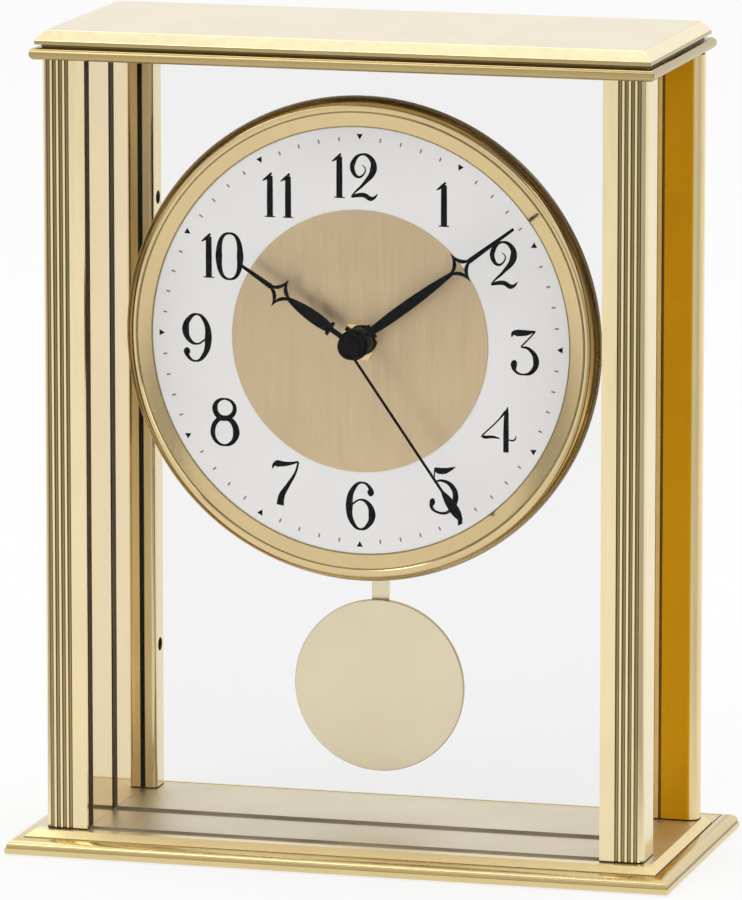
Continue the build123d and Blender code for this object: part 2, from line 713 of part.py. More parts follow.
def minute_hand():
    face = pointer(
        MINUTE_LENGTH, MINUTE_HUB_R, MINUTE_COLLAR_AT, MINUTE_LEAF_AT, MINUTE_LEAF_W, MINUTE_LOZENGE_AT
    )
    return hand(face, Y_MINUTE, ANGLE_MINUTE_REST, MINUTE_PIPE_R, MINUTE_BOSS_R)


def second_hand():
    w = SECOND_LINE_W / 2
    start = SECOND_LENGTH - SECOND_SPEAR
    wide = SECOND_LENGTH - 0.42 * SECOND_SPEAR
    face = Circle(SECOND_HUB_R)
    face += tip(0, start + SECOND_LINE_W, SECOND_LINE_W, SECOND_LINE_W)
    face += leaf(start, wide, SECOND_LENGTH, SECOND_SPEAR_W / 2, w, w / 2)
    body = hand(face, Y_SECOND, ANGLE_SECOND_REST, SECOND_ARBOR_R, SECOND_BOSS_R)
    front = Y_SECOND - HAND_T
    return body + rod_y(0, DIAL_Z, SECOND_CAP_R, front - SECOND_CAP_T, front)


# Wheels. A tooth stands on its start angle, measured from +X towards +Z
def gear(teeth, module, start):
    pitch_r = teeth * module / 2
    tip_r = pitch_r + TOOTH_UP * module
    root_r = pitch_r - TOOTH_DOWN * module
    step = 2 * math.pi / teeth
    points = []
    for n in range(teeth):
        middle = math.radians(start) + n * step
        for share, r in ((-TOOTH_ROOT, root_r), (-TOOTH_TIP, tip_r), (TOOTH_TIP, tip_r), (TOOTH_ROOT, root_r)):
            turn = middle + share * step
            points.append((r * math.cos(turn), r * math.sin(turn)))
    return make_face(Polyline(*points, close=True))


def wheel(x, z, teeth, module, start, bore, layer, thick):
    face = gear(teeth, module, start)
    if bore:
        face -= Circle(bore)
    y0 = Y_WALL + layer
    return sheet(at_axis(x, z, face), y0, y0 + thick)


def gap_angle(angle, teeth):
    return angle + 180 + 180 / teeth


def hour_wheel():
    bore = MINUTE_PIPE_R + RUN_PLAY
    body = wheel(0, DIAL_Z, 40, MOD_HOUR, gap_angle(ANGLE_MOTION + 180, 40), bore, LAYER_HOUR, WHEEL_T)
    y1 = Y_WALL + LAYER_HOUR + WHEEL_T
    body += rod_y(0, DIAL_Z, HOUR_PIPE_R, Y_HOUR - HAND_T, y1)
    return body - rod_y(0, DIAL_Z, bore, Y_HOUR - HAND_T, y1)


def minute_wheel():
    bore = SECOND_ARBOR_R + RUN_PLAY
    body = wheel(0, DIAL_Z, 64, MOD_MINUTE, gap_angle(ANGLE_THIRD + 180, 64), bore, LAYER_MINUTE, WHEEL_T)
    start = gap_angle(ANGLE_MOTION, 12) - 180
    body += wheel(0, DIAL_Z, 12, MOD_MOTION, start, bore, LAYER_MINUTE_PINION, PINION_T)
    y1 = Y_WALL + LAYER_MINUTE + WHEEL_T
    body += rod_y(0, DIAL_Z, MINUTE_PIPE_R, Y_MINUTE - HAND_T, y1)
    return body - rod_y(0, DIAL_Z, bore, Y_MINUTE - HAND_T, y1)


def seconds_wheel():
    body = wheel(0, DIAL_Z, 40, MOD_SECOND, gap_angle(ANGLE_INTERMEDIATE + 180, 40), 0, LAYER_SECOND, WHEEL_T)
    low = LAYER_THIRD + WHEEL_T / 2 - PINION_T / 2
    body += wheel(0, DIAL_Z, 8, MOD_THIRD, ANGLE_THIRD, 0, low, PINION_T)
    return body + rod_y(0, DIAL_Z, SECOND_ARBOR_R, Y_SECOND - HAND_T, Y_BRIDGE + PLATE_SHEET)


def third_wheel():
    body = wheel(THIRD_X, THIRD_Z, 60, MOD_THIRD, gap_angle(ANGLE_THIRD, 60), 0, LAYER_THIRD, WHEEL_T)
    low = LAYER_MINUTE + WHEEL_T / 2 - PINION_T / 2
    body += wheel(THIRD_X, THIRD_Z, 8, MOD_MINUTE, ANGLE_THIRD + 180, 0, low, PINION_T)
    body += rod_y(THIRD_X, THIRD_Z, SECOND_ARBOR_R, Y_WALL + LAYER_MINUTE, Y_WALL + LAYER_THIRD + WHEEL_T)
    return body + rod_y(THIRD_X, THIRD_Z, PIVOT_R, Y_WALL - PIVOT_DEPTH, Y_PLATE + PLATE_SHEET)


def motion_wheel():
    bore = STUD_R + RUN_PLAY
    low = LAYER_MINUTE_PINION + PINION_T / 2 - WHEEL_T / 2
    body = wheel(MOTION_X, MOTION_Z, 36, MOD_MOTION, ANGLE_MOTION + 180, bore, low, WHEEL_T)
    deep = LAYER_HOUR + WHEEL_T / 2 - PINION_T / 2
    body += wheel(MOTION_X, MOTION_Z, 10, MOD_HOUR, ANGLE_MOTION + 180, bore, deep, PINION_T)
    hub = rod_y(MOTION_X, MOTION_Z, STUD_R * 1.6, Y_WALL + deep, Y_WALL + low + WHEEL_T)
    return body + (hub - rod_y(MOTION_X, MOTION_Z, bore, Y_WALL + deep, Y_WALL + low + WHEEL_T))


def intermediate_wheel():
    body = wheel(INTER_X, INTER_Z, 48, MOD_ROTOR, ANGLE_ROTOR, 0, LAYER_INTERMEDIATE, WHEEL_T)
    low = LAYER_SECOND + WHEEL_T / 2 - PINION_T / 2
    body += wheel(INTER_X, INTER_Z, 8, MOD_SECOND, ANGLE_INTERMEDIATE + 180, 0, low, PINION_T)
    y1 = Y_WALL + LAYER_INTERMEDIATE + WHEEL_T
    body += rod_y(INTER_X, INTER_Z, SECOND_ARBOR_R, Y_WALL + low, y1)
    return body + rod_y(INTER_X, INTER_Z, PIVOT_R, Y_PLATE, Y_BRIDGE + PLATE_SHEET)


def rotor():
    low = LAYER_INTERMEDIATE + WHEEL_T / 2 - PINION_T / 2
    start = gap_angle(ANGLE_ROTOR, 8)
    body = wheel(ROTOR_X, ROTOR_Z, 8, MOD_ROTOR, start, 0, low, PINION_T)
    y0 = Y_PLATE + PLATE_SHEET + RUN_PLAY * 6
    body += rod_y(ROTOR_X, ROTOR_Z, ROTOR_R, y0, y0 + ROTOR_T)
    body += rod_y(ROTOR_X, ROTOR_Z, SECOND_ARBOR_R, y0, Y_WALL + low + PINION_T)
    return body + rod_y(ROTOR_X, ROTOR_Z, PIVOT_R, Y_PLATE, Y_BRIDGE + PLATE_SHEET)


# Train plate and bridge with their pillars
def train_outline():
    middle = DIAL_Z + (TRAIN_UP - TRAIN_DOWN) / 2
    return Pos(0, middle) * Rectangle(2 * TRAIN_HALF_W, TRAIN_UP + TRAIN_DOWN)


def pivots(body, spots, y0, y1):
    for x, z, r in spots:
        body -= rod_y(x, z, r + RUN_PLAY, y0, y1)
    return body


def train_plate():
    y1 = Y_PLATE + PLATE_SHEET
    body = sheet(train_outline(), Y_PLATE, y1)
    spots = [(THIRD_X, THIRD_Z, PIVOT_R), (INTER_X, INTER_Z, PIVOT_R), (ROTOR_X, ROTOR_Z, PIVOT_R)]
    spots.append((0, DIAL_Z, SECOND_ARBOR_R + 4 * RUN_PLAY))
    spots += [(x, z, PILLAR_SCREW_R) for x, z in PILLARS]
    return pivots(body, spots, Y_PLATE, y1)


def train_bridge():
    y1 = Y_BRIDGE + PLATE_SHEET
    body = sheet(train_outline(), Y_BRIDGE, y1)
    for x, z in PILLARS:
        body += rod_y(x, z, PILLAR_R, Y_PLATE + PLATE_SHEET, Y_BRIDGE)
    spots = [(0, DIAL_Z, SECOND_ARBOR_R), (INTER_X, INTER_Z, PIVOT_R), (ROTOR_X, ROTOR_Z, PIVOT_R)]
    spots += [(x, z, PILLAR_SCREW_R) for x, z in PILLARS]
    return pivots(body, spots, Y_PLATE, y1)


def train_screws():
    screws = []
    y1 = Y_BRIDGE + PLATE_SHEET
    for x, z in PILLARS:
        shank = rod_y(x, z, PILLAR_SCREW_R, Y_PLATE - PILLAR_SCREW_BITE, y1)
        screws.append(shank + rod_y(x, z, PILLAR_HEAD_R, y1, y1 + PILLAR_HEAD_T))
    return screws


# Movement case and cover
COVER_SPOTS = [
    (side * (CASE_X - COVER_BOSS_IN), z)
    for side in (-1, 1)
    for z in (CASE_Z0 + COVER_BOSS_LOW, BAY_Z - COVER_BOSS_HIGH)
]


def movement_case():
    body = block(-CASE_X, CASE_X, Y_MOVE, Y_SEAT, CASE_Z0, CASE_Z1)
    body += block(-CASE_X, CASE_X, Y_MOVE, Y_REAR, BAY_Z + CASE_WALL, CASE_Z1)
    inner = CASE_X - CASE_WALL
    body -= block(-inner, inner, Y_WALL, Y_REAR, CASE_Z0 + CASE_WALL, BAY_Z)
    body -= block(-inner, inner, Y_WALL, Y_REAR, BAY_Z + CASE_WALL, CASE_Z1 - CASE_WALL)
    body += rod_y(0, DIAL_Z, BUSH_R, Y_BUSH, Y_MOVE)
    for x, z in COVER_SPOTS:
        body += rod_y(x, z, COVER_BOSS_R, Y_WALL, Y_SEAT)
    for x, z in PILLARS:
        body += rod_y(x, z, PILLAR_R, Y_WALL, Y_PLATE)
    body += rod_y(MOTION_X, MOTION_Z, STUD_R, Y_WALL, Y_WALL + LAYER_MINUTE_PINION + PINION_T)
    body += rod_y(0, PIVOT_Z, PIN_BOSS_R, Y_WALL, Y_ARM_HUB - ARM_SIDE_PLAY)
    for sx in (-1, 1):
        for up in (0.15, 0.85):
            x = sx * BOARD_W * 0.44
            body += rod_y(x, BOARD_Z + up * BOARD_H, BOARD_POST_R, Y_WALL, Y_BOARD)
    z_mid = DIAL_Z - ANTENNA_DROP
    for sz in (-1, 1):
        z = z_mid + sz * (ANTENNA_COIL_L / 2 + SADDLE_GAP)
        x0 = ANTENNA_X - SADDLE_HALF
        z0 = z - SADDLE_T / 2
        body += block(x0, x0 + 2 * SADDLE_HALF, Y_WALL, Y_WALL + ANTENNA_BACK, z0, z0 + SADDLE_T)
    body -= rod_z(ANTENNA_X, Y_WALL + ANTENNA_BACK, FERRITE_R + PEG_PLAY, z_mid - FERRITE_L, z_mid + FERRITE_L)
    body -= rod_y(0, DIAL_Z, HOUR_PIPE_R + RUN_PLAY, Y_BUSH, Y_WALL)
    body -= rod_y(THIRD_X, THIRD_Z, PIVOT_R + RUN_PLAY, Y_WALL - PIVOT_DEPTH - RUN_PLAY * 2, Y_WALL)
    for x, z in COVER_SPOTS:
        body -= rod_y(x, z, COVER_SCREW_R, Y_SEAT - COVER_SCREW_BITE, Y_SEAT)
    for x, z in PILLARS:
        body -= rod_y(x, z, PILLAR_SCREW_R, Y_PLATE - PILLAR_SCREW_BITE, Y_PLATE)
    body -= rod_y(0, PIVOT_Z, PIN_R, Y_WALL, Y_SEAT)
    slot_y = Y_ARM - ARM_SLOT_PLAY
    body -= block(-ARM_SLOT_HALF, ARM_SLOT_HALF, slot_y, Y_SEAT, CASE_Z0, CASE_Z0 + CASE_WALL)
    return body


def movement_cover():
    body = block(-CASE_X, CASE_X, Y_SEAT, Y_REAR, CASE_Z0, BAY_Z + CASE_WALL)
    y0 = Y_ARM_HUB + ARM_HUB_T + ARM_SIDE_PLAY
    body += rod_y(0, PIVOT_Z, PIN_BOSS_R, y0, Y_SEAT)
    body -= rod_y(0, PIVOT_Z, PIN_R, y0, Y_SEAT)
    for x, z in COVER_SPOTS:
        body -= rod_y(x, z, COVER_SCREW_R + PEG_PLAY, Y_SEAT, Y_REAR)
    for sx in (-1, 1):
        body -= rod_y(sx * BUTTON_X, BUTTON_Z, BUTTON_R + BUTTON_PLAY, Y_SEAT, Y_REAR)
    return body


def cover_screws():
    screws = []
    for x, z in COVER_SPOTS:
        shank = rod_y(x, z, COVER_SCREW_R, Y_SEAT - COVER_SCREW_BITE, Y_REAR)
        screws.append(shank + rod_y(x, z, COVER_HEAD_R, Y_REAR, Y_REAR + COVER_HEAD_T))
    return screws


# Motor, board, antenna and battery
STATOR_Y = Y_PLATE + PLATE_SHEET
CORE_Z0 = ROTOR_Z - MOTOR_COIL_L / 2 - CORE_END
CORE_Z1 = ROTOR_Z + MOTOR_COIL_L / 2 + CORE_END


def stator():
    x1 = MOTOR_COIL_X + CORE_W / 2
    arm_x = ROTOR_X + STATOR_ARM_IN
    half = STATOR_HALF
    reach = MOTOR_COIL_L / 2 + STATOR_GAP
    y1 = STATOR_Y + STATOR_T
    body = block(ROTOR_X - half, ROTOR_X + half, STATOR_Y, y1, ROTOR_Z - half, ROTOR_Z + half)
    body += block(arm_x, x1, STATOR_Y, y1, CORE_Z0, ROTOR_Z - reach)
    body += block(arm_x, x1, STATOR_Y, y1, ROTOR_Z + reach, CORE_Z1)
    return body - rod_y(ROTOR_X, ROTOR_Z, STATOR_HOLE_R, STATOR_Y, y1)


def motor_core():
    x0 = MOTOR_COIL_X - CORE_W / 2
    y0 = STATOR_Y + STATOR_T
    return block(x0, x0 + CORE_W, y0, y0 + CORE_T, CORE_Z0, CORE_Z1)


def motor_coil():
    y = STATOR_Y + STATOR_T + CORE_T / 2
    z0 = ROTOR_Z - MOTOR_COIL_L / 2
    body = rod_z(MOTOR_COIL_X, y, MOTOR_COIL_R, z0, z0 + MOTOR_COIL_L)
    half = CORE_W / 2
    return body - block(
        MOTOR_COIL_X - half, MOTOR_COIL_X + half, y - CORE_T / 2, y + CORE_T / 2, z0, z0 + MOTOR_COIL_L
    )


BUTTON_Z = BOARD_Z + BOARD_H / 2


def circuit_board():
    half = BOARD_W / 2
    return block(-half, half, Y_BOARD, Y_BOARD + BOARD_T, BOARD_Z, BOARD_Z + BOARD_H)


def switches():
    items = []
    y0 = Y_BOARD + BOARD_T
    half = SWITCH_SIDE / 2
    for sx in (-1, 1):
        x = sx * BUTTON_X
        items.append(block(x - half, x + half, y0, y0 + SWITCH_T, BUTTON_Z - half, BUTTON_Z + half))
    return items


def drive_coil():
    y0 = Y_BOARD + BOARD_T
    body = rod_y(0, MAGNET_Z, DRIVE_COIL_R, y0, y0 + DRIVE_COIL_T)
    return body - rod_y(0, MAGNET_Z, DRIVE_COIL_HOLE_R, y0, y0 + DRIVE_COIL_T)


def antenna_rod():
    z = DIAL_Z - ANTENNA_DROP
    return rod_z(ANTENNA_X, Y_WALL + ANTENNA_BACK, FERRITE_R, z - FERRITE_L / 2, z + FERRITE_L / 2)


def antenna_coil():
    z = DIAL_Z - ANTENNA_DROP
    z0 = z - ANTENNA_COIL_L / 2
    y = Y_WALL + ANTENNA_BACK
    body = rod_z(ANTENNA_X, y, ANTENNA_COIL_R, z0, z0 + ANTENNA_COIL_L)
    return body - rod_z(ANTENNA_X, y, FERRITE_R, z0, z0 + ANTENNA_COIL_L)


def battery():
    x0 = -CELL_L / 2
    body = rod_x(CELL_Y, CELL_Z, CELL_R, x0, x0 + CELL_L)
    return body + rod_x(CELL_Y, CELL_Z, NUB_R, x0 + CELL_L, x0 + CELL_L + NUB_L)


def battery_contact(side):
    reach = CELL_L / 2 + (NUB_L if side > 0 else 0)
    wall = CASE_X - CASE_WALL
    half = CONTACT_W / 2
    z0 = CELL_Z - half
    z1 = CELL_Z + half
    y0 = Y_WALL
    y1 = CELL_Y + half
    plate = block(wall - CONTACT_T, wall, y0, y1, z0, z1)
    touch = block(reach, reach + CONTACT_T, CELL_Y - CONTACT_DROP, y1, z0 + CONTACT_IN, z1 - CONTACT_IN)
    web = block(reach, wall, y1 - CONTACT_T, y1, z0 + CONTACT_IN, z1 - CONTACT_IN)
    body = plate + touch + web
    return body if side > 0 else mirror(body, Plane.YZ)


# Push buttons
def button(side):
    x = side * BUTTON_X
    y_flange = Y_SEAT - PEG_PLAY
    y_stem = Y_BOARD + BOARD_T + SWITCH_T + BUTTON_TRAVEL + PEG_PLAY
    body = rod_y(x, BUTTON_Z, BUTTON_R, y_flange - BUTTON_FLANGE_T, Y_REAR + BUTTON_PROUD)
    body += rod_y(x, BUTTON_Z, BUTTON_FLANGE_R, y_flange - BUTTON_FLANGE_T, y_flange)
    return body + rod_y(x, BUTTON_Z, BUTTON_STEM_R, y_stem, y_flange)


# Pendulum
def pendulum_pin():
    y0 = Y_WALL
    return rod_y(0, PIVOT_Z, PIN_R, y0, Y_SEAT)


def pendulum_arm():
    half = ARM_W / 2
    y1 = Y_ARM + ARM_T
    body = rod_y(0, PIVOT_Z, ARM_HUB_R, Y_ARM_HUB, Y_ARM_HUB + ARM_HUB_T)
    body += block(-half, half, Y_ARM, y1, ARM_Z, PIVOT_Z)
    body += rod_y(0, PEG_Z, PEG_R, Y_ROD - PEG_PAST, Y_ARM)
    return body - rod_y(0, PIVOT_Z, PIN_R + RUN_PLAY, Y_ARM_HUB, Y_ARM_HUB + ARM_HUB_T)


def pendulum_magnet():
    return rod_y(0, MAGNET_Z, MAGNET_R, Y_ARM - MAGNET_T, Y_ARM)


def pendulum_rod():
    half = ROD_W / 2
    z1 = PEG_Z + ROD_TOP
    body = block(-half, half, Y_ROD, Y_ARM, BOB_Z - ROD_PAST, z1)
    corners = body.edges().filter_by(Axis.Y).sort_by(Axis.Z)[-2:]
    body = fillet(corners, half * 0.6)
    return body - rod_y(0, PEG_Z, PEG_R + PEG_PLAY, Y_ROD, Y_ARM)


def pendulum_bob():
    body = rod_y(0, BOB_Z, BOB_R, Y_BOB, Y_ROD)
    return chamfer(body.edges().filter_by(GeomType.CIRCLE), BOB_EDGE)


def bob_clip():
    half = CLIP_W / 2
    y1 = Y_ARM + CLIP_T
    body = block(-half, half, Y_ROD, y1, BOB_Z - CLIP_H / 2, BOB_Z + CLIP_H / 2)
    slot = ROD_W / 2 + CLIP_PLAY
    return body - block(-slot, slot, Y_ROD, Y_ARM, BOB_Z - CLIP_H, BOB_Z + CLIP_H)


# Every piece under its own name
keep("base_plate", base_plate())
keep_group("felt_feet", felt_feet())
keep("top_plate", top_plate())
keep("top_slab", top_slab())
POST_F = front_post()
POST_R = rear_post()
keep("post_front_right", POST_F)
keep("post_front_left", mirror(POST_F, Plane.YZ))
keep("post_rear_right", POST_R)
keep("post_rear_left", mirror(POST_R, Plane.YZ))
TIE_RODS, TIE_NUTS_LOW, TIE_NUTS_HIGH = tie_parts()
keep_group("tie_rods", TIE_RODS)
keep_group("tie_nuts_base", TIE_NUTS_LOW)
keep_group("tie_nuts_top", TIE_NUTS_HIGH)
keep_group("slab_screws", slab_screws())
keep("side_panel_right", side_panel())
keep("side_panel_left", mirror(side_panel(), Plane.YZ))
keep("front_glass", front_glass())
keep("carrier_glass", carrier_glass())
keep("pane_strip_right", pane_strip())
keep("pane_strip_left", mirror(pane_strip(), Plane.YZ))
keep("bezel", bezel())
keep("dial_plate", dial_plate())
keep("dial_centre", dial_centre())
keep("dial_pan", dial_pan())
keep("dial_nut", dial_nut())
keep("hour_hand", hour_hand())
keep("minute_hand", minute_hand())
keep("second_hand", second_hand())
keep("hour_wheel", hour_wheel())
keep("minute_wheel", minute_wheel())
keep("seconds_wheel", seconds_wheel())
keep("third_wheel", third_wheel())
keep("motion_wheel", motion_wheel())
keep("intermediate_wheel", intermediate_wheel())
keep("rotor", rotor())
keep("train_plate", train_plate())
keep("train_bridge", train_bridge())
keep_group("train_screws", train_screws())
keep("movement_case", movement_case())
keep("movement_cover", movement_cover())
keep_group("cover_screws", cover_screws())
keep("stator", stator())
keep("motor_core", motor_core())
keep("motor_coil", motor_coil())
keep("circuit_board", circuit_board())
keep_group("switches", switches())
keep("drive_coil", drive_coil())
keep("antenna_rod", antenna_rod())
keep("antenna_coil", antenna_coil())
keep("battery", battery())
keep("battery_contact_plus", battery_contact(1))
keep("battery_contact_minus", battery_contact(-1))
keep("set_button", button(1))
keep("receive_button", button(-1))
keep("pendulum_pin", pendulum_pin())
keep("pendulum_arm", pendulum_arm())
keep("pendulum_magnet", pendulum_magnet())
keep("pendulum_rod", pendulum_rod())
keep("pendulum_bob", pendulum_bob())
keep("bob_clip", bob_clip())

os.makedirs("parts", exist_ok=True)
for name, shape in NODES.items():
    export_step(shape, "parts/" + name + ".step")
print(len(NODES), "pieces")
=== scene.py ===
import math

import bmesh
import bpy
from bpy.props import FloatProperty, FloatVectorProperty, PointerProperty
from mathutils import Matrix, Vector


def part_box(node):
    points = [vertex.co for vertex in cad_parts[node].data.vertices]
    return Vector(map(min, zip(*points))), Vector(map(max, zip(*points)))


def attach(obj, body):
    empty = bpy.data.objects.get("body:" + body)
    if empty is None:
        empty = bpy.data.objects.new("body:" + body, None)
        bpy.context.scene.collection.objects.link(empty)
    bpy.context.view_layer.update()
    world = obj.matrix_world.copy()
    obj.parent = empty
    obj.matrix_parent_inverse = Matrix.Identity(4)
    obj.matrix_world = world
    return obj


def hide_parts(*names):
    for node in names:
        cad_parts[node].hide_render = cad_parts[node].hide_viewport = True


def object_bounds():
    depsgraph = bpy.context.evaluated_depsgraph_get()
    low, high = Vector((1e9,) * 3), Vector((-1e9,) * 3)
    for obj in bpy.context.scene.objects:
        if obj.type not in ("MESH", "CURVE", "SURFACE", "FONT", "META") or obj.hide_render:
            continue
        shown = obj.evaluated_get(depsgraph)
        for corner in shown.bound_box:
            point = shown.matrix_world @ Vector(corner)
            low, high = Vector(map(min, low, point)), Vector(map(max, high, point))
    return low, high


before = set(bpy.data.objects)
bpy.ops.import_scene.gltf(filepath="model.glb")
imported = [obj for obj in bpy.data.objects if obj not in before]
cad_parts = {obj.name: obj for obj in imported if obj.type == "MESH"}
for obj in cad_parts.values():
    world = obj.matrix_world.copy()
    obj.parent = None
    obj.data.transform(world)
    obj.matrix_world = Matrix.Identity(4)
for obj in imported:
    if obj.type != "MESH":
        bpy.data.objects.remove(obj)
CAD_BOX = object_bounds()

bl_info = {
    "name": "Desk pendulum clock",
    "version": (1, 0, 0),
    "blender": (4, 5, 0),
    "location": "3D View > Sidebar > Clock",
    "description": "Dresses the clock's solids with finished pieces, finishes and a plain studio",
    "category": "Object",
}

MM = 0.001


def corners(node):
    low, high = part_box(node)
    return Vector(low), Vector(high)


# Places read from the solids
BASE_LOW, BASE_HIGH = corners("base_plate")
PLATE_LOW, PLATE_HIGH = corners("top_plate")
SLAB_LOW, SLAB_HIGH = corners("top_slab")
POST_LOW, POST_HIGH = corners("post_front_right")
REAR_LOW, REAR_HIGH = corners("post_rear_right")
PANEL_LOW, PANEL_HIGH = corners("side_panel_right")
PANE_LOW, PANE_HIGH = corners("front_glass")
CARRIER_LOW, CARRIER_HIGH = corners("carrier_glass")
BEZEL_LOW, BEZEL_HIGH = corners("bezel")
DIAL_LOW, DIAL_HIGH = corners("dial_plate")
DISC_LOW, DISC_HIGH = corners("dial_centre")
BOB_LOW, BOB_HIGH = corners("pendulum_bob")
CELL_LOW, CELL_HIGH = corners("battery")
PANES = ((PANE_LOW, PANE_HIGH), (CARRIER_LOW, CARRIER_HIGH))
AXIS_Z = (BEZEL_LOW.z + BEZEL_HIGH.z) / 2
BOB_Z = (BOB_LOW.z + BOB_HIGH.z) / 2

# Sizes that more than one piece needs
TIE_BORE = 2.2 * MM
NUT_RADIUS = 4 * MM
NUT_DEPTH = 2.4 * MM
GROOVE_PLAY = 0.05 * MM
SLAB_SCREW_HEAD = 2.8 * MM
COVER_SCREW_HEAD = 2.2 * MM

# How near to an axis the normal of a flat face and of any face turned that way is
FLAT = 0.98
TOWARDS = 0.9

# Distances within which points are merged, in metres
WELD = 0.000001
NODE_WELD = 0.000002


def tie_spots():
    """Middles of the four posts, where the tie rods run"""
    spots = []
    for low, high in ((POST_LOW, POST_HIGH), (REAR_LOW, REAR_HIGH)):
        middle = (low + high) / 2
        spots += [(-middle.x, middle.y), (middle.x, middle.y)]
    return spots


def head_spots(node, radius, across):
    """Middles of the four screw heads in the corners of a node's box, along x and one other axis"""
    low, high = corners(node)
    others = (low[across] + radius, high[across] - radius)
    return [(x, other) for x in (low.x + radius, high.x - radius) for other in others]


def length_setting(name, description, default):
    return FloatProperty(name=name, description=description, default=default, unit="LENGTH")


def angle_setting(name, description, degrees):
    return FloatProperty(name=name, description=description, default=math.radians(degrees), subtype="ANGLE")


def colour_setting(name, description, default):
    return FloatVectorProperty(name=name, description=description, default=default, subtype="COLOR")


class ClockSizes(bpy.types.PropertyGroup):
    """Sizes of the finished pieces that the solids leave open"""
    edge: length_setting("Edge softness", "Width of the small rounds on metal edges", 0.00018)
    numeral: length_setting("Numeral height", "Height of an hour numeral", 0.0122)
    tick_ring: length_setting("Minute ring", "Radius of the middle of the minute marks", 0.0552)
    mark_ring: length_setting("Hour mark ring", "Radius of the middle of the hour marks", 0.0558)
    print_lift: length_setting("Print thickness", "How far the print stands on the dial", 0.00004)


class ClockFinish(bpy.types.PropertyGroup):
    """Colours of the finishes"""
    brass: colour_setting("Polished brass", "Colour of the lacquered case metal", (0.87, 0.72, 0.44))
    moulding: colour_setting("Moulding brass", "Colour of the base plate's moulding", (0.75, 0.60, 0.30))
    floor: colour_setting("Brushed floor", "Colour of the base plate's flat", (0.80, 0.72, 0.56))
    # Painted shade: a darker brass on the top plate, the slab's band, the bezel's outer round, the bob's
    # rim and lines of the base moulding
    nose: colour_setting(
        "Shaded brass", "Colour of the top's nose, the bezel's outer round and the bob's rim",
        (0.48, 0.37, 0.17))
    # Painted shade in the flutes, in the bezel's groove and on its inner lip
    flute: colour_setting("Flutes", "Colour in the flutes and in the bezel's groove", (0.36, 0.28, 0.13))
    gilt: colour_setting("Deep gilt", "Colour of the bezel and the dial nut", (0.76, 0.59, 0.31))
    amber: colour_setting("Amber lacquer", "Colour of the posts in the side recesses", (0.82, 0.48, 0.02))
    mirror: colour_setting("Mirror brass", "Colour of the side panels", (0.89, 0.70, 0.39))
    # The strip before the glass takes this colour as a painted highlight
    satin: colour_setting(
        "Satin brass", "Colour of the bob, its rod and the strip before the glass", (1.0, 0.87, 0.615))
    disc: colour_setting("Dial centre", "Colour of the satin dial centre", (0.72, 0.56, 0.35))
    dial: colour_setting("Dial white", "Colour of the dial ring", (0.83, 0.815, 0.805))
    ink: colour_setting("Print", "Colour of the numerals and the hour marks", (0.004, 0.004, 0.005))
    tick: colour_setting("Minute marks", "Colour of the minute marks", (0.22, 0.21, 0.21))
    hand: colour_setting("Hands", "Colour of the lacquered hands", (0.004, 0.004, 0.005))
    case: colour_setting("Movement case", "Colour of the moulded movement case", (0.016, 0.016, 0.017))


class ClockStudio(bpy.types.PropertyGroup):
    """Camera settings"""
    azimuth: angle_setting("Azimuth", "Camera turn to the right of the front", 15.44)
    elevation: angle_setting("Elevation", "Camera height above the horizon", 10.22)
    distance: length_setting("Distance", "Camera to the point it looks at", 2.2086)
    lens: FloatProperty(name="Lens", description="Focal length in millimetres", default=329.1)


# Work on one object at a time
def clear_selection():
    if bpy.context.object and bpy.context.object.mode != "OBJECT":
        bpy.ops.object.mode_set(mode="OBJECT")
    bpy.ops.object.select_all(action="DESELECT")


def make_active(obj):
    clear_selection()
    obj.select_set(True)
    bpy.context.view_layer.objects.active = obj


def enter_edit(obj, kind="FACE"):
    make_active(obj)
    bpy.ops.object.mode_set(mode="EDIT")
    bpy.ops.mesh.select_mode(type=kind)


def leave_edit():
    bpy.ops.object.mode_set(mode="OBJECT")


def pick(obj, kind, test):
    """Select the faces or the edges that pass a test, and nothing else"""
    mesh = bmesh.from_edit_mesh(obj.data)
    items = getattr(mesh, kind)
    for item in items:
        item.select_set(False)
    for item in items:
        if test(item):
            item.select_set(True)
    bmesh.update_edit_mesh(obj.data)


def faces_up(face):
    return face.normal.z > TOWARDS


def faces_down(face):
    return face.normal.z < -TOWARDS


def pull(x, y, z):
    """Extrude what is selected"""
    bpy.ops.mesh.extrude_region_move(TRANSFORM_OT_translate={"value": (x, y, z)})


def apply_place(obj):
    make_active(obj)
    bpy.ops.object.transform_apply(location=True, rotation=True, scale=True)


def new_box(name, low, high):
    clear_selection()
    middle = (Vector(low) + Vector(high)) / 2
    size = Vector(high) - Vector(low)
    bpy.ops.mesh.primitive_cube_add(size=1, location=middle)
    obj = bpy.context.object
    obj.name = name
    obj.scale = size
    apply_place(obj)
    return obj


def new_rod(name, start, end, radius, count=32):
    clear_selection()
    start = Vector(start)
    end = Vector(end)
    bpy.ops.mesh.primitive_cylinder_add(
        vertices=count, radius=radius, depth=(end - start).length, location=(start + end) / 2)
    obj = bpy.context.object
    obj.name = name
    obj.rotation_mode = "QUATERNION"
    obj.rotation_quaternion = (end - start).to_track_quat("Z", "Y")
    apply_place(obj)
    obj.rotation_mode = "XYZ"
    return obj


def new_pin(name, x, y, bottom, top, radius, count=32):
    """An upright rod"""
    return new_rod(name, (x, y, bottom), (x, y, top), radius, count)


def join(parts, name):
    clear_selection()
    for part in parts:
        part.select_set(True)
    bpy.context.view_layer.objects.active = parts[0]
    if len(parts) > 1:
        bpy.ops.object.join()
    obj = bpy.context.object
    obj.name = name
    return obj


def apply_modifier(obj, modifier):
    make_active(obj)
    bpy.ops.object.modifier_apply(modifier=modifier.name)


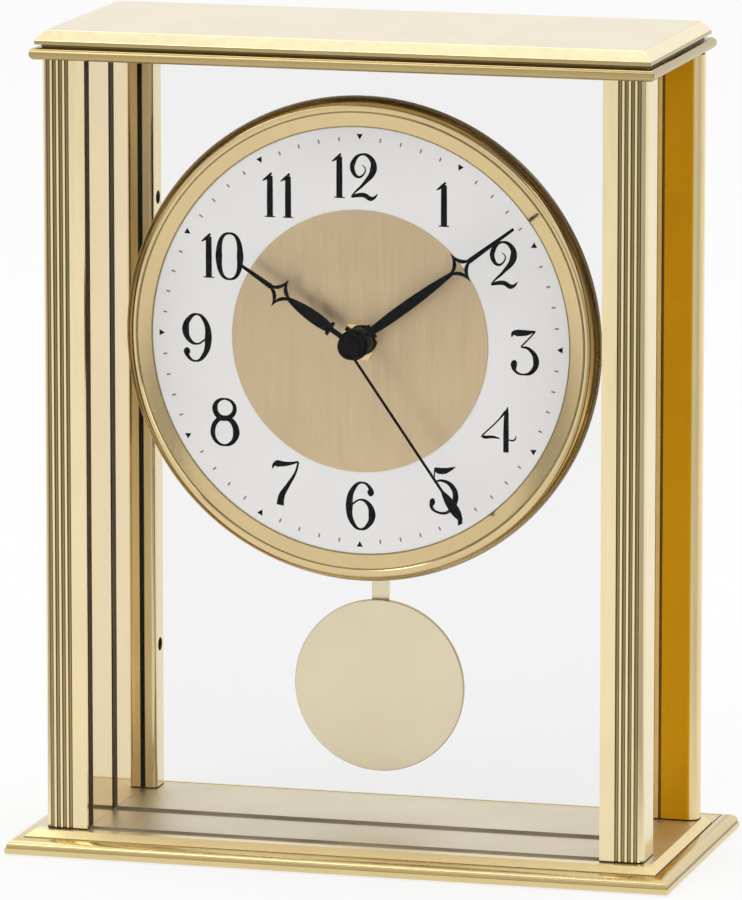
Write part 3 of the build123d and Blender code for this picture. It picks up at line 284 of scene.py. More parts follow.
def cut(obj, tools):
    tool = join(tools, "cutter")
    modifier = obj.modifiers.new("cut", "BOOLEAN")
    modifier.operation = "DIFFERENCE"
    modifier.solver = "EXACT"
    modifier.use_self = True
    modifier.object = tool
    apply_modifier(obj, modifier)
    bpy.data.objects.remove(tool, do_unlink=True)


def soften(obj, width, angle):
    """Rounds on the edges that turn by more than an angle"""
    modifier = obj.modifiers.new("soft", "BEVEL")
    modifier.width = width
    modifier.segments = 2
    modifier.limit_method = "ANGLE"
    modifier.angle_limit = math.radians(angle)
    apply_modifier(obj, modifier)


def smooth(obj, angle=30):
    make_active(obj)
    bpy.ops.object.shade_smooth_by_angle(angle=math.radians(angle))


def outward(obj):
    enter_edit(obj, "VERT")
    bpy.ops.mesh.select_all(action="SELECT")
    bpy.ops.mesh.remove_doubles(threshold=WELD)
    bpy.ops.mesh.normals_make_consistent(inside=False)
    leave_edit()


def turned(name, points, axis_z, steps):
    """A profile of radius and depth, spun about the line through axis_z"""
    clear_selection()
    bpy.ops.mesh.primitive_plane_add(size=0.2 * MM, location=(*points[0], axis_z))
    obj = bpy.context.object
    obj.name = name
    enter_edit(obj, "VERT")
    bpy.ops.mesh.select_all(action="SELECT")
    bpy.ops.mesh.merge(type="CENTER")
    for before, after in zip(points, points[1:]):
        pull(after[0] - before[0], after[1] - before[1], 0)
    bpy.ops.mesh.select_all(action="SELECT")
    bpy.ops.mesh.spin(steps=steps, angle=2 * math.pi, center=(0, 0, axis_z), axis=(0, 1, 0))
    leave_edit()
    apply_place(obj)
    outward(obj)
    return obj


def mirrored(obj, name):
    make_active(obj)
    bpy.ops.object.duplicate()
    other = bpy.context.object
    other.name = name
    other.scale.x = -1
    apply_place(other)
    outward(other)
    return other


def from_node(node, width, angle=35):
    """A merged copy of a solid with softened edges"""
    clear_selection()
    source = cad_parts[node]
    obj = source.copy()
    obj.data = source.data.copy()
    bpy.context.scene.collection.objects.link(obj)
    obj.parent = None
    obj.matrix_world = source.matrix_world
    obj.name = node + "_finished"
    enter_edit(obj, "VERT")
    bpy.ops.mesh.reveal()
    bpy.ops.mesh.select_all(action="SELECT")
    bpy.ops.mesh.remove_doubles(threshold=NODE_WELD)
    bpy.ops.mesh.dissolve_limited(angle_limit=math.radians(1.0))
    leave_edit()
    apply_place(obj)
    soften(obj, width, angle)
    smooth(obj)
    return obj


def weigh(obj):
    """Large flat faces keep their own normal beside small bevels"""
    modifier = obj.modifiers.new("weigh", "WEIGHTED_NORMAL")
    modifier.keep_sharp = True
    modifier.weight = 100
    apply_modifier(obj, modifier)


def finish(obj, body, slot, material, *nodes):
    weigh(obj)
    obj.data.materials.clear()
    obj.data.materials.append(material)
    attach(obj, body)
    if nodes:
        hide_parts(*nodes)
    return obj


def paint(obj, material, test):
    """Another finish on the faces that pass a test"""
    obj.data.materials.append(material)
    place = len(obj.data.materials) - 1
    for face in obj.data.polygons:
        if test(face):
            face.material_index = place


def slice_at(obj, spot, way=(0, 0, 1)):
    """A ring of edges across a piece"""
    enter_edit(obj, "VERT")
    bpy.ops.mesh.select_all(action="SELECT")
    bpy.ops.mesh.bisect(plane_co=Vector(way) * spot, plane_no=way)
    leave_edit()


def cross_slots(obj, spots, arms):
    """Cross recesses in screw heads; arms are half sizes of the two bars"""
    tools = []
    for spot in spots:
        for arm in arms:
            tools.append(new_box("slot", Vector(spot) - Vector(arm), Vector(spot) + Vector(arm)))
    cut(obj, tools)
    smooth(obj, 30)


def refined(node, body, slot, material, width, angle=35):
    """A softened copy that takes a solid's place"""
    return finish(from_node(node, width, angle), body, slot, material, node)


def dress(material, *nodes):
    """A finish for solids that stay as they are"""
    for node in nodes:
        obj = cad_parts[node]
        if not obj.data.materials:
            obj.data.materials.append(material)
        for place in obj.material_slots:
            place.material = material


# Materials: the part of the noise that shows, a grain without direction, clouds and depths of relief
NOISE_LOW = 0.3
NOISE_HIGH = 0.7
EVEN = (1, 1, 1)
METAL_CLOUD = 45
COAT_CLOUD = 60
METAL_RELIEF = 0.00002
COAT_RELIEF = 0.00003


def new_material(name):
    """A new material, its nodes and its shader; an earlier one of that name comes without nodes"""
    name = "look_" + name
    if name in bpy.data.materials:
        return bpy.data.materials[name], None, None
    material = bpy.data.materials.new(name)
    material.use_nodes = True
    return material, material.node_tree, material.node_tree.nodes["Principled BSDF"]


def add_node(tree, kind, **values):
    node = tree.nodes.new(kind)
    for key, value in values.items():
        setattr(node, key, value)
    return node


def object_noise(tree, scale, detail=3.0, stretch=EVEN):
    place = add_node(tree, "ShaderNodeTexCoord")
    mapping = add_node(tree, "ShaderNodeMapping")
    mapping.inputs["Scale"].default_value = stretch
    noise = add_node(tree, "ShaderNodeTexNoise")
    noise.inputs["Scale"].default_value = scale
    noise.inputs["Detail"].default_value = detail
    tree.links.new(place.outputs["Object"], mapping.inputs["Vector"])
    tree.links.new(mapping.outputs["Vector"], noise.inputs["Vector"])
    return noise.outputs["Fac"]


def fade(tree, source, start, end, first, last):
    """From the first to the last value while the source goes from start to end"""
    node = add_node(tree, "ShaderNodeMapRange")
    node.inputs["From Min"].default_value = start
    node.inputs["From Max"].default_value = end
    node.inputs["To Min"].default_value = first
    node.inputs["To Max"].default_value = last
    tree.links.new(source, node.inputs["Value"])
    return node.outputs["Result"]


def reckon(tree, operation, *values):
    """One step of arithmetic on sockets and plain numbers"""
    node = add_node(tree, "ShaderNodeMath", operation=operation)
    for place, value in zip(node.inputs, values):
        if isinstance(value, float):
            place.default_value = value
        else:
            tree.links.new(value, place)
    return node.outputs["Value"]


def tint(tree, source, colour, change):
    ramp = add_node(tree, "ShaderNodeValToRGB")
    low = [c * (1 - change) for c in colour]
    high = [min(1.0, c * (1 + change)) for c in colour]
    ramp.color_ramp.elements[0].position = NOISE_LOW
    ramp.color_ramp.elements[1].position = NOISE_HIGH
    ramp.color_ramp.elements[0].color = (*low, 1)
    ramp.color_ramp.elements[1].color = (*high, 1)
    tree.links.new(source, ramp.inputs["Fac"])
    return ramp.outputs["Color"]


def relief(tree, shader, source, strength, distance):
    bump = add_node(tree, "ShaderNodeBump")
    bump.inputs["Strength"].default_value = strength
    bump.inputs["Distance"].default_value = distance
    tree.links.new(source, bump.inputs["Height"])
    tree.links.new(bump.outputs["Normal"], shader.inputs["Normal"])


def surface(name, sockets, cloud_scale, depth, colour, rough_low, rough_high, change, grain, stretch, bump):
    """A finish with a cloudy tint, a fine grain in its gloss and, where bump isn't 0, a relief"""
    material, tree, shader = new_material(name)
    if tree is None:
        return material
    for socket, value in sockets.items():
        shader.inputs[socket].default_value = value
    cloud = object_noise(tree, cloud_scale)
    fine = object_noise(tree, grain, 2.0, stretch)
    rough = fade(tree, fine, NOISE_LOW, NOISE_HIGH, rough_low, rough_high)
    tree.links.new(tint(tree, cloud, colour, change), shader.inputs["Base Color"])
    tree.links.new(rough, shader.inputs["Roughness"])
    if bump:
        relief(tree, shader, fine, bump, depth)
    return material


def metal(name, *values):
    """values are colour, least and most roughness, change of tint, grain, stretch and relief"""
    return surface(name, {"Metallic": 1.0}, METAL_CLOUD, METAL_RELIEF, *values)


def coated(name, colour, rough_low, rough_high, change, grain, bump, level):
    """Lacquer, print, plastic or felt; level is its gloss"""
    sockets = {"Specular IOR Level": level}
    values = (colour, rough_low, rough_high, change, grain, EVEN, bump)
    return surface(name, sockets, COAT_CLOUD, COAT_RELIEF, *values)


def clear_glass():
    material, tree, shader = new_material("clear_glass")
    if tree is None:
        return material
    shader.inputs["Base Color"].default_value = (0.10, 0.11, 0.105, 1)
    shader.inputs["Roughness"].default_value = 0.02
    shader.inputs["IOR"].default_value = 1.5
    shader.inputs["Alpha"].default_value = 0.03
    return material


def finishes():
    """All finishes of the clock, made once"""
    colours = bpy.context.scene.clock_finish
    return {
        "brass": metal("polished_brass", colours.brass, 0.10, 0.17, 0.03, 900, (1, 1, 0.08), 0.04),
        "moulding": metal("lacquered_moulding", colours.moulding, 0.24, 0.28, 0.03, 40, EVEN, 0.0),
        "floor": metal("brushed_floor", colours.floor, 0.36, 0.50, 0.05, 1600, (0.02, 1, 1), 0.06),
        # Painted shade: dark olive brass in the flutes and the bezel's groove and lip
        "flute": metal("flute_shade", colours.flute, 0.22, 0.32, 0.05, 1200, (1, 1, 0.05), 0.0),
        # Painted shade: a darker copy of the brass for shaded edges and lines
        "nose": metal("shaded_brass", colours.nose, 0.20, 0.24, 0.03, 40, EVEN, 0.0),
        # Painted highlight: a paler, brighter brass on the slab's bevel
        "bevel": metal("bright_bevel", (1.0, 0.88, 0.55), 0.14, 0.22, 0.03, 500, EVEN, 0.0),
        # Painted shade: near black in the rear posts' grooves and holes, and a painted shadow line at the
        # post feet
        "groove": coated("dark_groove", (0.028, 0.017, 0.005), 0.6, 0.75, 0.2, 1500, 0.1, 0.1),
        "panel": metal("panel_back", (0.95, 0.77, 0.42), 0.34, 0.46, 0.03, 1500, (1, 1, 0.03), 0.05),
        "gilt": metal("deep_gilt", colours.gilt, 0.08, 0.14, 0.03, 900, EVEN, 0.0),
        "amber": metal("amber_lacquer", colours.amber, 0.42, 0.54, 0.04, 1400, (1, 1, 0.03), 0.05),
        "mirror": metal("mirror_brass", colours.mirror, 0.04, 0.07, 0.02, 700, (1, 1, 0.06), 0.0),
        "satin": metal("satin_brass", colours.satin, 0.28, 0.36, 0.03, 2600, (1, 1, 0.03), 0.035),
        "disc": metal("dial_satin", colours.disc, 0.32, 0.50, 0.05, 2200, (1, 1, 0.02), 0.30),
        "dial": coated("dial_white", colours.dial, 0.50, 0.62, 0.01, 2500, 0.02, 0.35),
        "ink": coated("dial_ink", colours.ink, 0.45, 0.55, 0.10, 3000, 0.0, 0.06),
        "tick": coated("minute_ink", colours.tick, 0.45, 0.55, 0.10, 3000, 0.0, 0.3),
        "hand": coated("hand_lacquer", colours.hand, 0.34, 0.46, 0.10, 1500, 0.02, 0.05),
        "case": coated("moulded_black", colours.case, 0.42, 0.55, 0.12, 2200, 0.14, 0.45),
        "glass": clear_glass(),
        # Painted shade: a dark band at the foot of each pane, in its groove
        "seat": coated("glass_seat", (0.34, 0.28, 0.20), 0.5, 0.65, 0.2, 1500, 0.1, 0.2),
        # Painted shade: dark brass in the base's quirk, the slab's gap, the rear posts' fine line and on
        # the bezel's outer edge
        "shade": metal("dark_shade", (0.18, 0.13, 0.05), 0.24, 0.29, 0.04, 300, EVEN, 0.0),
        "ground": coated("ground_edge", (0.085, 0.050, 0.012), 0.45, 0.6, 0.2, 1800, 0.1, 0.05),
        "strip": coated("dark_strip", (0.070, 0.040, 0.008), 0.55, 0.7, 0.2, 1500, 0.1, 0.05),
        "felt": coated("felt", (0.030, 0.026, 0.022), 0.9, 1.0, 0.3, 4000, 0.8, 0.1),
        "steel": metal("plain_steel", (0.55, 0.55, 0.56), 0.22, 0.34, 0.05, 1600, EVEN, 0.06),
        "backing": metal("spun_aluminium", (0.66, 0.64, 0.60), 0.30, 0.42, 0.04, 1500, (1, 0.1, 1), 0.05),
        "wheel": coated("wheel_plastic", (0.70, 0.68, 0.62), 0.35, 0.45, 0.03, 2000, 0.05, 0.5),
        "magnet": metal("ground_magnet", (0.22, 0.22, 0.23), 0.4, 0.55, 0.08, 1800, EVEN, 0.1),
        "copper": metal("enamelled_wire", (0.48, 0.17, 0.06), 0.25, 0.4, 0.08, 1400, (0.3, 0.3, 6), 0.3),
        "board": coated("solder_mask", (0.012, 0.075, 0.030), 0.25, 0.4, 0.12, 1800, 0.08, 0.5),
        "sleeve": coated("cell_sleeve", (0.020, 0.020, 0.022), 0.18, 0.28, 0.08, 900, 0.02, 0.5),
        "cellband": metal("cell_band", (0.62, 0.36, 0.16), 0.2, 0.3, 0.04, 900, EVEN, 0.0),
        "nickel": metal("nickel_plate", (0.68, 0.66, 0.61), 0.16, 0.26, 0.04, 1200, EVEN, 0.04),
    }


class PieceOperator(bpy.types.Operator):
    """Shared by the clock's operators"""
    bl_options = {"REGISTER", "UNDO"}


class CLOCK_OT_base_plate(PieceOperator):
    """Base plate with its mitred moulding"""
    bl_idname = "clock.base_plate"
    bl_label = "Base plate"

    # The moulding from the table up
    fascia = 1.5 * MM
    ledge = 0.4 * MM
    fillet = 0.8 * MM
    ovolo_run = 3.6 * MM
    ovolo_rise = 1.7 * MM
    ovolo_steps = 8
    quirk_width = 0.4 * MM
    quirk_depth = 0.12 * MM
    step_rise = 0.42 * MM
    slope_run = 2.2 * MM
    slope_rise = 1.6 * MM

    # Limits between its finishes and its painted shade lines, in from the outline and up from the table
    fillet_inset = (0.2 * MM, 0.5 * MM)
    fillet_top = 2.25 * MM
    quirk_inset = (3.98 * MM, 4.45 * MM)
    quirk_top = 4.22 * MM
    slope_foot = 4.3 * MM

    # The fall behind the rear posts and the seats of the feet
    fall_behind = 0.7 * MM
    fall_height = 4.0 * MM
    foot_x = 59 * MM
    foot_y = 23 * MM
    foot_radius = 7 * MM
    foot_depth = 1.5 * MM

    def between(self, face, limits, top):
        """Within two insets from the outline and below a height"""
        inset = min(BASE_HIGH.x - abs(face.center.x), BASE_HIGH.y - abs(face.center.y))
        return limits[0] < inset < limits[1] and face.center.z < BASE_LOW.z + top

    def on_slope(self, face):
        return face.center.z > BASE_LOW.z + self.slope_foot and 0.3 < face.normal.z < FLAT

    def before_pane(self, face):
        """The strip of the flat in front of the glass, painted lighter as a highlight"""
        level = face.normal.z > FLAT and face.center.z > BASE_HIGH.z - 0.1 * MM
        return level and face.center.y < PANE_LOW.y

    def on_fillet(self, face):
        """The upright band between the ledge and the ovolo, painted as a line of shade"""
        return self.between(face, self.fillet_inset, self.fillet_top)

    def in_quirk(self, face):
        """The narrow step between the ovolo and the slope, painted dark as shade"""
        return self.between(face, self.quirk_inset, self.quirk_top)

    def in_front_quirk(self, face):
        return self.in_quirk(face) and face.center.y < BASE_LOW.y + self.quirk_inset[1]

    def execute(self, context):
        looks = finishes()
        high = Vector((BASE_HIGH.x, BASE_HIGH.y, BASE_LOW.z + self.fascia))
        obj = new_box("base_plate_finished", BASE_LOW, high)
        enter_edit(obj)
        pick(obj, "faces", faces_up)
        bpy.ops.mesh.inset(thickness=self.ledge, depth=0)
        pull(0, 0, self.fillet)
        for step in range(self.ovolo_steps):
            before = math.radians(90) * step / self.ovolo_steps
            after = math.radians(90) * (step + 1) / self.ovolo_steps
            run = self.ovolo_run * (math.cos(before) - math.cos(after))
            rise = self.ovolo_rise * (math.sin(after) - math.sin(before))
            bpy.ops.mesh.inset(thickness=run, depth=rise)
        bpy.ops.mesh.inset(thickness=self.quirk_width, depth=-self.quirk_depth)
        pull(0, 0, self.step_rise)
        bpy.ops.mesh.inset(thickness=self.slope_run, depth=self.slope_rise)
        leave_edit()
        fall = Vector((BASE_LOW.x - MM, REAR_HIGH.y + self.fall_behind, BASE_LOW.z + self.fall_height))
        tools = [new_box("step", fall, BASE_HIGH + Vector((MM, MM, MM)))]
        play = Vector((GROOVE_PLAY, GROOVE_PLAY, 0))
        for low, up in PANES:
            tools.append(new_box("groove", low - play, Vector((up.x, up.y, BASE_HIGH.z + 10 * MM)) + play))
        for x, y in tie_spots():
            tools.append(new_pin("pocket", x, y, BASE_LOW.z - MM, BASE_LOW.z + NUT_DEPTH, NUT_RADIUS))
            tools.append(new_pin("bore", x, y, BASE_LOW.z + MM, BASE_HIGH.z + MM, TIE_BORE))
        for x in (-self.foot_x, self.foot_x):
            for y in (-self.foot_y, self.foot_y):
                tools.append(new_pin("seat", x, y, -MM, self.foot_depth, self.foot_radius, 48))
        cut(obj, tools)
        soften(obj, context.scene.clock_sizes.edge, 28)
        smooth(obj, 24)
        slice_at(obj, PANE_LOW.y - 0.3 * MM, (0, 1, 0))
        finish(obj, "case", "polished_brass", looks["moulding"], "base_plate")
        paint(obj, looks["floor"], lambda face: face.center.z > BASE_HIGH.z - 0.05 * MM)
        paint(obj, looks["panel"], self.on_slope)
        # Painted shade: the quirk dark, its front and the fillet in the shaded brass, as lines of shade
        paint(obj, looks["shade"], self.in_quirk)
        paint(obj, looks["nose"], self.in_front_quirk)
        paint(obj, looks["nose"], self.on_fillet)
        # Painted highlight: the strip before the glass lighter than the flat behind it
        paint(obj, looks["satin"], self.before_pane)
        return {"FINISHED"}


class CLOCK_OT_top(PieceOperator):
    """Top plate with a round nose and the bevelled slab"""
    bl_idname = "clock.top"
    bl_label = "Top plate and slab"

    nose_round = 1.45 * MM
    plate_hole = 1.55 * MM
    slab_hole = 1.5 * MM
    slab_hole_depth = 2.6 * MM
    shadow_gap = 0.9 * MM
    gap_inset = 1.6 * MM
    bevel_run = 2.6 * MM
    bevel_rise = 2.7 * MM

    def plate(self, soft, looks):
        obj = new_box("top_plate_finished", PLATE_LOW, PLATE_HIGH)
        enter_edit(obj, "EDGE")
        pick(obj, "edges", lambda edge: abs(edge.verts[0].co.z - edge.verts[1].co.z) < MM)
        bpy.ops.mesh.bevel(offset=self.nose_round, segments=8, affect="EDGES")
        leave_edit()
        tools = []
        play = Vector((GROOVE_PLAY, GROOVE_PLAY, 0.1 * MM))
        for low, high in PANES:
            foot = Vector((low.x, low.y, PLATE_LOW.z - MM))
            tools.append(new_box("groove", foot - play, high + play))
        for x, y in tie_spots():
            tools.append(new_pin("bore", x, y, PLATE_LOW.z - MM, PLATE_HIGH.z - MM, TIE_BORE))
            tools.append(new_pin("pocket", x, y, PLATE_HIGH.z - NUT_DEPTH, PLATE_HIGH.z + MM, NUT_RADIUS))
        for x, y in head_spots("slab_screws", SLAB_SCREW_HEAD, 1):
            tools.append(new_pin("screw", x, y, PLATE_LOW.z - MM, PLATE_HIGH.z + MM, self.plate_hole))
        cut(obj, tools)
        soften(obj, soft, 40)
        smooth(obj, 30)
        # Painted shade: the whole plate, its nose too, in the shaded brass
        finish(obj, "case", "polished_brass", looks["nose"], "top_plate")

    def slab(self, soft, looks):
        low = Vector((SLAB_LOW.x, SLAB_LOW.y, SLAB_LOW.z + self.shadow_gap))
        high = Vector((SLAB_HIGH.x, SLAB_HIGH.y, SLAB_HIGH.z - self.bevel_rise))
        obj = new_box("top_slab_finished", low, high)
        enter_edit(obj)
        pick(obj, "faces", faces_up)
        bpy.ops.mesh.inset(thickness=self.bevel_run, depth=self.bevel_rise)
        pick(obj, "faces", faces_down)
        bpy.ops.mesh.inset(thickness=self.gap_inset, depth=0)
        pull(0, 0, -self.shadow_gap)
        leave_edit()
        tools = []
        for x, y in head_spots("slab_screws", SLAB_SCREW_HEAD, 1):
            end = SLAB_LOW.z + self.slab_hole_depth
            tools.append(new_pin("screw", x, y, SLAB_LOW.z - MM, end, self.slab_hole))
        cut(obj, tools)
        soften(obj, soft, 30)
        smooth(obj, 24)
        finish(obj, "case", "polished_brass", looks["brass"], "top_slab")
        # Painted highlight on the bevel, painted shade on the band under it and a painted shadow in the gap
        # above the plate
        paint(obj, looks["bevel"], lambda face: face.center.z < SLAB_HIGH.z - 0.1 * MM)
        paint(obj, looks["nose"], lambda face: face.center.z < high.z)
        paint(obj, looks["shade"], lambda face: face.center.z < low.z + 0.02 * MM)

    def execute(self, context):
        looks = finishes()
        self.plate(context.scene.clock_sizes.edge, looks)
        self.slab(context.scene.clock_sizes.edge, looks)
        return {"FINISHED"}


class CLOCK_OT_posts(PieceOperator):
    """Two fluted front posts and two flat rear posts"""
    bl_idname = "clock.posts"
    bl_label = "Corner posts"

    front_round = 2.5 * MM
    flute_radius = 0.55 * MM
    flute_start = 4.7 * MM
    flute_step = 1.75 * MM
    flute_count = 4
    rear_round = 3.2 * MM
    inner_round = 1.5 * MM
    groove_room = 0.7 * MM
    line_near = 1.2 * MM
    line_far = 2.0 * MM
    line_depth = 0.5 * MM
    hole_heights = (40.6 * MM, 166.6 * MM)
    hole_inset = 3.1 * MM
    hole_depth = 4.5 * MM
    hole_radius = 1.9 * MM
    rod_bore = 2.5 * MM
    foot_line = 0.35 * MM
    # Grooves are painted dark as shade from this depth on, and the recess is amber from this far beside the
    # panel
    skin = 0.12 * MM
    recess_start = 2.1 * MM

    def front_post(self, name):
        """Square, fluted, with a rebate for pane, strip and panel"""
        low = POST_LOW
        high = POST_HIGH
        obj = new_box(name, low, high)
        enter_edit(obj, "EDGE")
        pick(obj, "edges", lambda edge: self.upright(edge, high.x, low.y))
        bpy.ops.mesh.bevel(offset=self.front_round, segments=10, affect="EDGES")
        leave_edit()
        tools = []
        for x in self.flutes():
            tools.append(new_pin("flute", x, low.y, low.z - MM, high.z + MM, self.flute_radius, 28))
        rebate_low = (low.x - MM, PANE_LOW.y - GROOVE_PLAY, low.z - MM)
        rebate_high = (PANEL_HIGH.x + GROOVE_PLAY, high.y + MM, high.z + MM)
        tools.append(new_box("rebate", rebate_low, rebate_high))
        return self.bored(obj, tools, low, high)

    def rear_post(self, name):
        """Flat, with a round outer edge, a panel groove and two cross holes"""
        low = REAR_LOW
        high = REAR_HIGH
        obj = new_box(name, low, high)
        enter_edit(obj, "EDGE")
        pick(obj, "edges", lambda edge: any(self.upright(edge, high.x, y) for y in (low.y, high.y)))
        bpy.ops.mesh.bevel(offset=self.rear_round, segments=12, affect="EDGES")
        pick(obj, "edges", lambda edge: self.upright(edge, low.x, low.y))
        bpy.ops.mesh.bevel(offset=self.inner_round, segments=8, affect="EDGES")
        leave_edit()
        groove_low = (PANEL_LOW.x - self.groove_room, low.y - MM, low.z - MM)
        groove_high = (PANEL_HIGH.x + GROOVE_PLAY, PANEL_HIGH.y + GROOVE_PLAY, high.z + MM)
        line_low = (PANEL_HIGH.x + self.line_near, low.y - MM, low.z - MM)
        line_high = (PANEL_HIGH.x + self.line_far, low.y + self.line_depth, high.z + MM)
        tools = [new_box("groove", groove_low, groove_high), new_box("line", line_low, line_high)]
        y = high.y - self.hole_inset
        for height in self.hole_heights:
            z = low.z + height
            end = (low.x + self.hole_depth, y, z)
            tools.append(new_rod("hole", (low.x - MM, y, z), end, self.hole_radius, 40))
        return self.bored(obj, tools, low, high)

    def bored(self, obj, tools, low, high):
        middle = (low + high) / 2
        tools.append(new_pin("bore", middle.x, middle.y, low.z - MM, high.z + MM, self.rod_bore, 40))
        cut(obj, tools)
        soften(obj, 0.1 * MM, 35)
        smooth(obj, 30)
        return obj

    def flutes(self):
        return [POST_LOW.x + self.flute_start + self.flute_step * step for step in range(self.flute_count)]

    def in_flute(self, face):
        near = min(abs(abs(face.center.x) - x) for x in self.flutes())
        return near < self.flute_radius + 0.01 * MM and 0.02 * MM < face.center.y - POST_LOW.y < 0.7 * MM

    def in_groove(self, face):
        """Inside the panel groove or a cross hole of a rear post, painted dark as shade"""
        x = abs(face.center.x)
        deep = face.center.y - REAR_LOW.y
        groove = PANEL_LOW.x - 0.72 * MM < x < PANEL_HIGH.x + 2.22 * MM and self.skin < deep < 1.6 * MM
        hole = abs(face.normal.x) < 0.5 and x < REAR_LOW.x + 4.4 * MM and 1.9 * MM < deep < 6 * MM
        return groove or (hole and x > REAR_LOW.x + self.skin)

    def in_line(self, face):
        """Inside the fine line beside the recess, painted dark as shade"""
        beside = abs(face.center.x) - PANEL_HIGH.x
        return 1.1 * MM < beside < 2.1 * MM and self.skin < face.center.y - REAR_LOW.y < 0.6 * MM

    # A band at the foot of a post, painted dark as a contact shadow
    def at_foot(self, face):
        return face.center.z < POST_LOW.z + self.foot_line

    def in_recess(self, face):
        """The face that stands in the recess beside the panel"""
        return face.normal.y < -FLAT and abs(face.center.x) > PANEL_HIGH.x + self.recess_start

    def beside_panel(self, face):
        """The narrow flat beside the panel and the round outer edge"""
        flat = face.normal.y < -FLAT and abs(face.center.x) < PANEL_HIGH.x + self.recess_start
        return flat or (-FLAT < face.normal.y < -0.15 and abs(face.center.x) > REAR_HIGH.x - 3.3 * MM)

    def upright(self, edge, x, y):
        """An edge that stands at x and y"""
        near = 0.1 * MM
        return all(abs(point.co.x - x) < near and abs(point.co.y - y) < near for point in edge.verts)

    def execute(self, context):
        looks = finishes()
        front = self.front_post("post_front_right_finished")
        rear = self.rear_post("post_rear_right_finished")
        for post, row in ((front, "front"), (rear, "rear")):
            slice_at(post, POST_LOW.z + self.foot_line)
            left = mirrored(post, "post_" + row + "_left_finished")
            for obj, side in ((post, "right"), (left, "left")):
                finish(obj, "case", "polished_brass", looks["brass"], "post_" + row + "_" + side)
                if row == "front":
                    # Painted shade in the flutes
                    paint(obj, looks["flute"], self.in_flute)
                else:
                    paint(obj, looks["amber"], self.in_recess)
                    paint(obj, looks["panel"], self.beside_panel)
                    # Painted shade in the grooves and holes and in the fine line
                    paint(obj, looks["groove"], self.in_groove)
                    paint(obj, looks["shade"], self.in_line)
                # Painted shadow line at the foot
                paint(obj, looks["groove"], self.at_foot)
        return {"FINISHED"}


class CLOCK_OT_panes(PieceOperator):
    """Front and carrier panes with ground edges"""
    bl_idname = "clock.panes"
    bl_label = "Glass panes"

    edge_round = 0.25 * MM
    bush_hole = 4.3 * MM
    seat_line = 0.22 * MM

    def pane(self, name, low, high, node, hole):
        looks = finishes()
        obj = new_box(name, low, high)
        if hole:
            start = (0, low.y - MM, AXIS_Z)
            cut(obj, [new_rod("hole", start, (0, high.y + MM, AXIS_Z), self.bush_hole, 48)])
        soften(obj, self.edge_round, 60)
        seat = BASE_HIGH.z + self.seat_line
        slice_at(obj, seat)
        smooth(obj, 30)
        finish(obj, "case", "clear_glass", looks["glass"], node)
        paint(obj, looks["ground"], lambda face: abs(face.normal.y) < TOWARDS)
        # Painted shade: a dark band at the foot of the pane, where it stands in the groove
        paint(obj, looks["seat"], lambda face: face.center.z < seat)

    def execute(self, context):
        self.pane("front_glass_finished", PANE_LOW, PANE_HIGH, "front_glass", False)
        self.pane("carrier_glass_finished", CARRIER_LOW, CARRIER_HIGH, "carrier_glass", True)
        return {"FINISHED"}


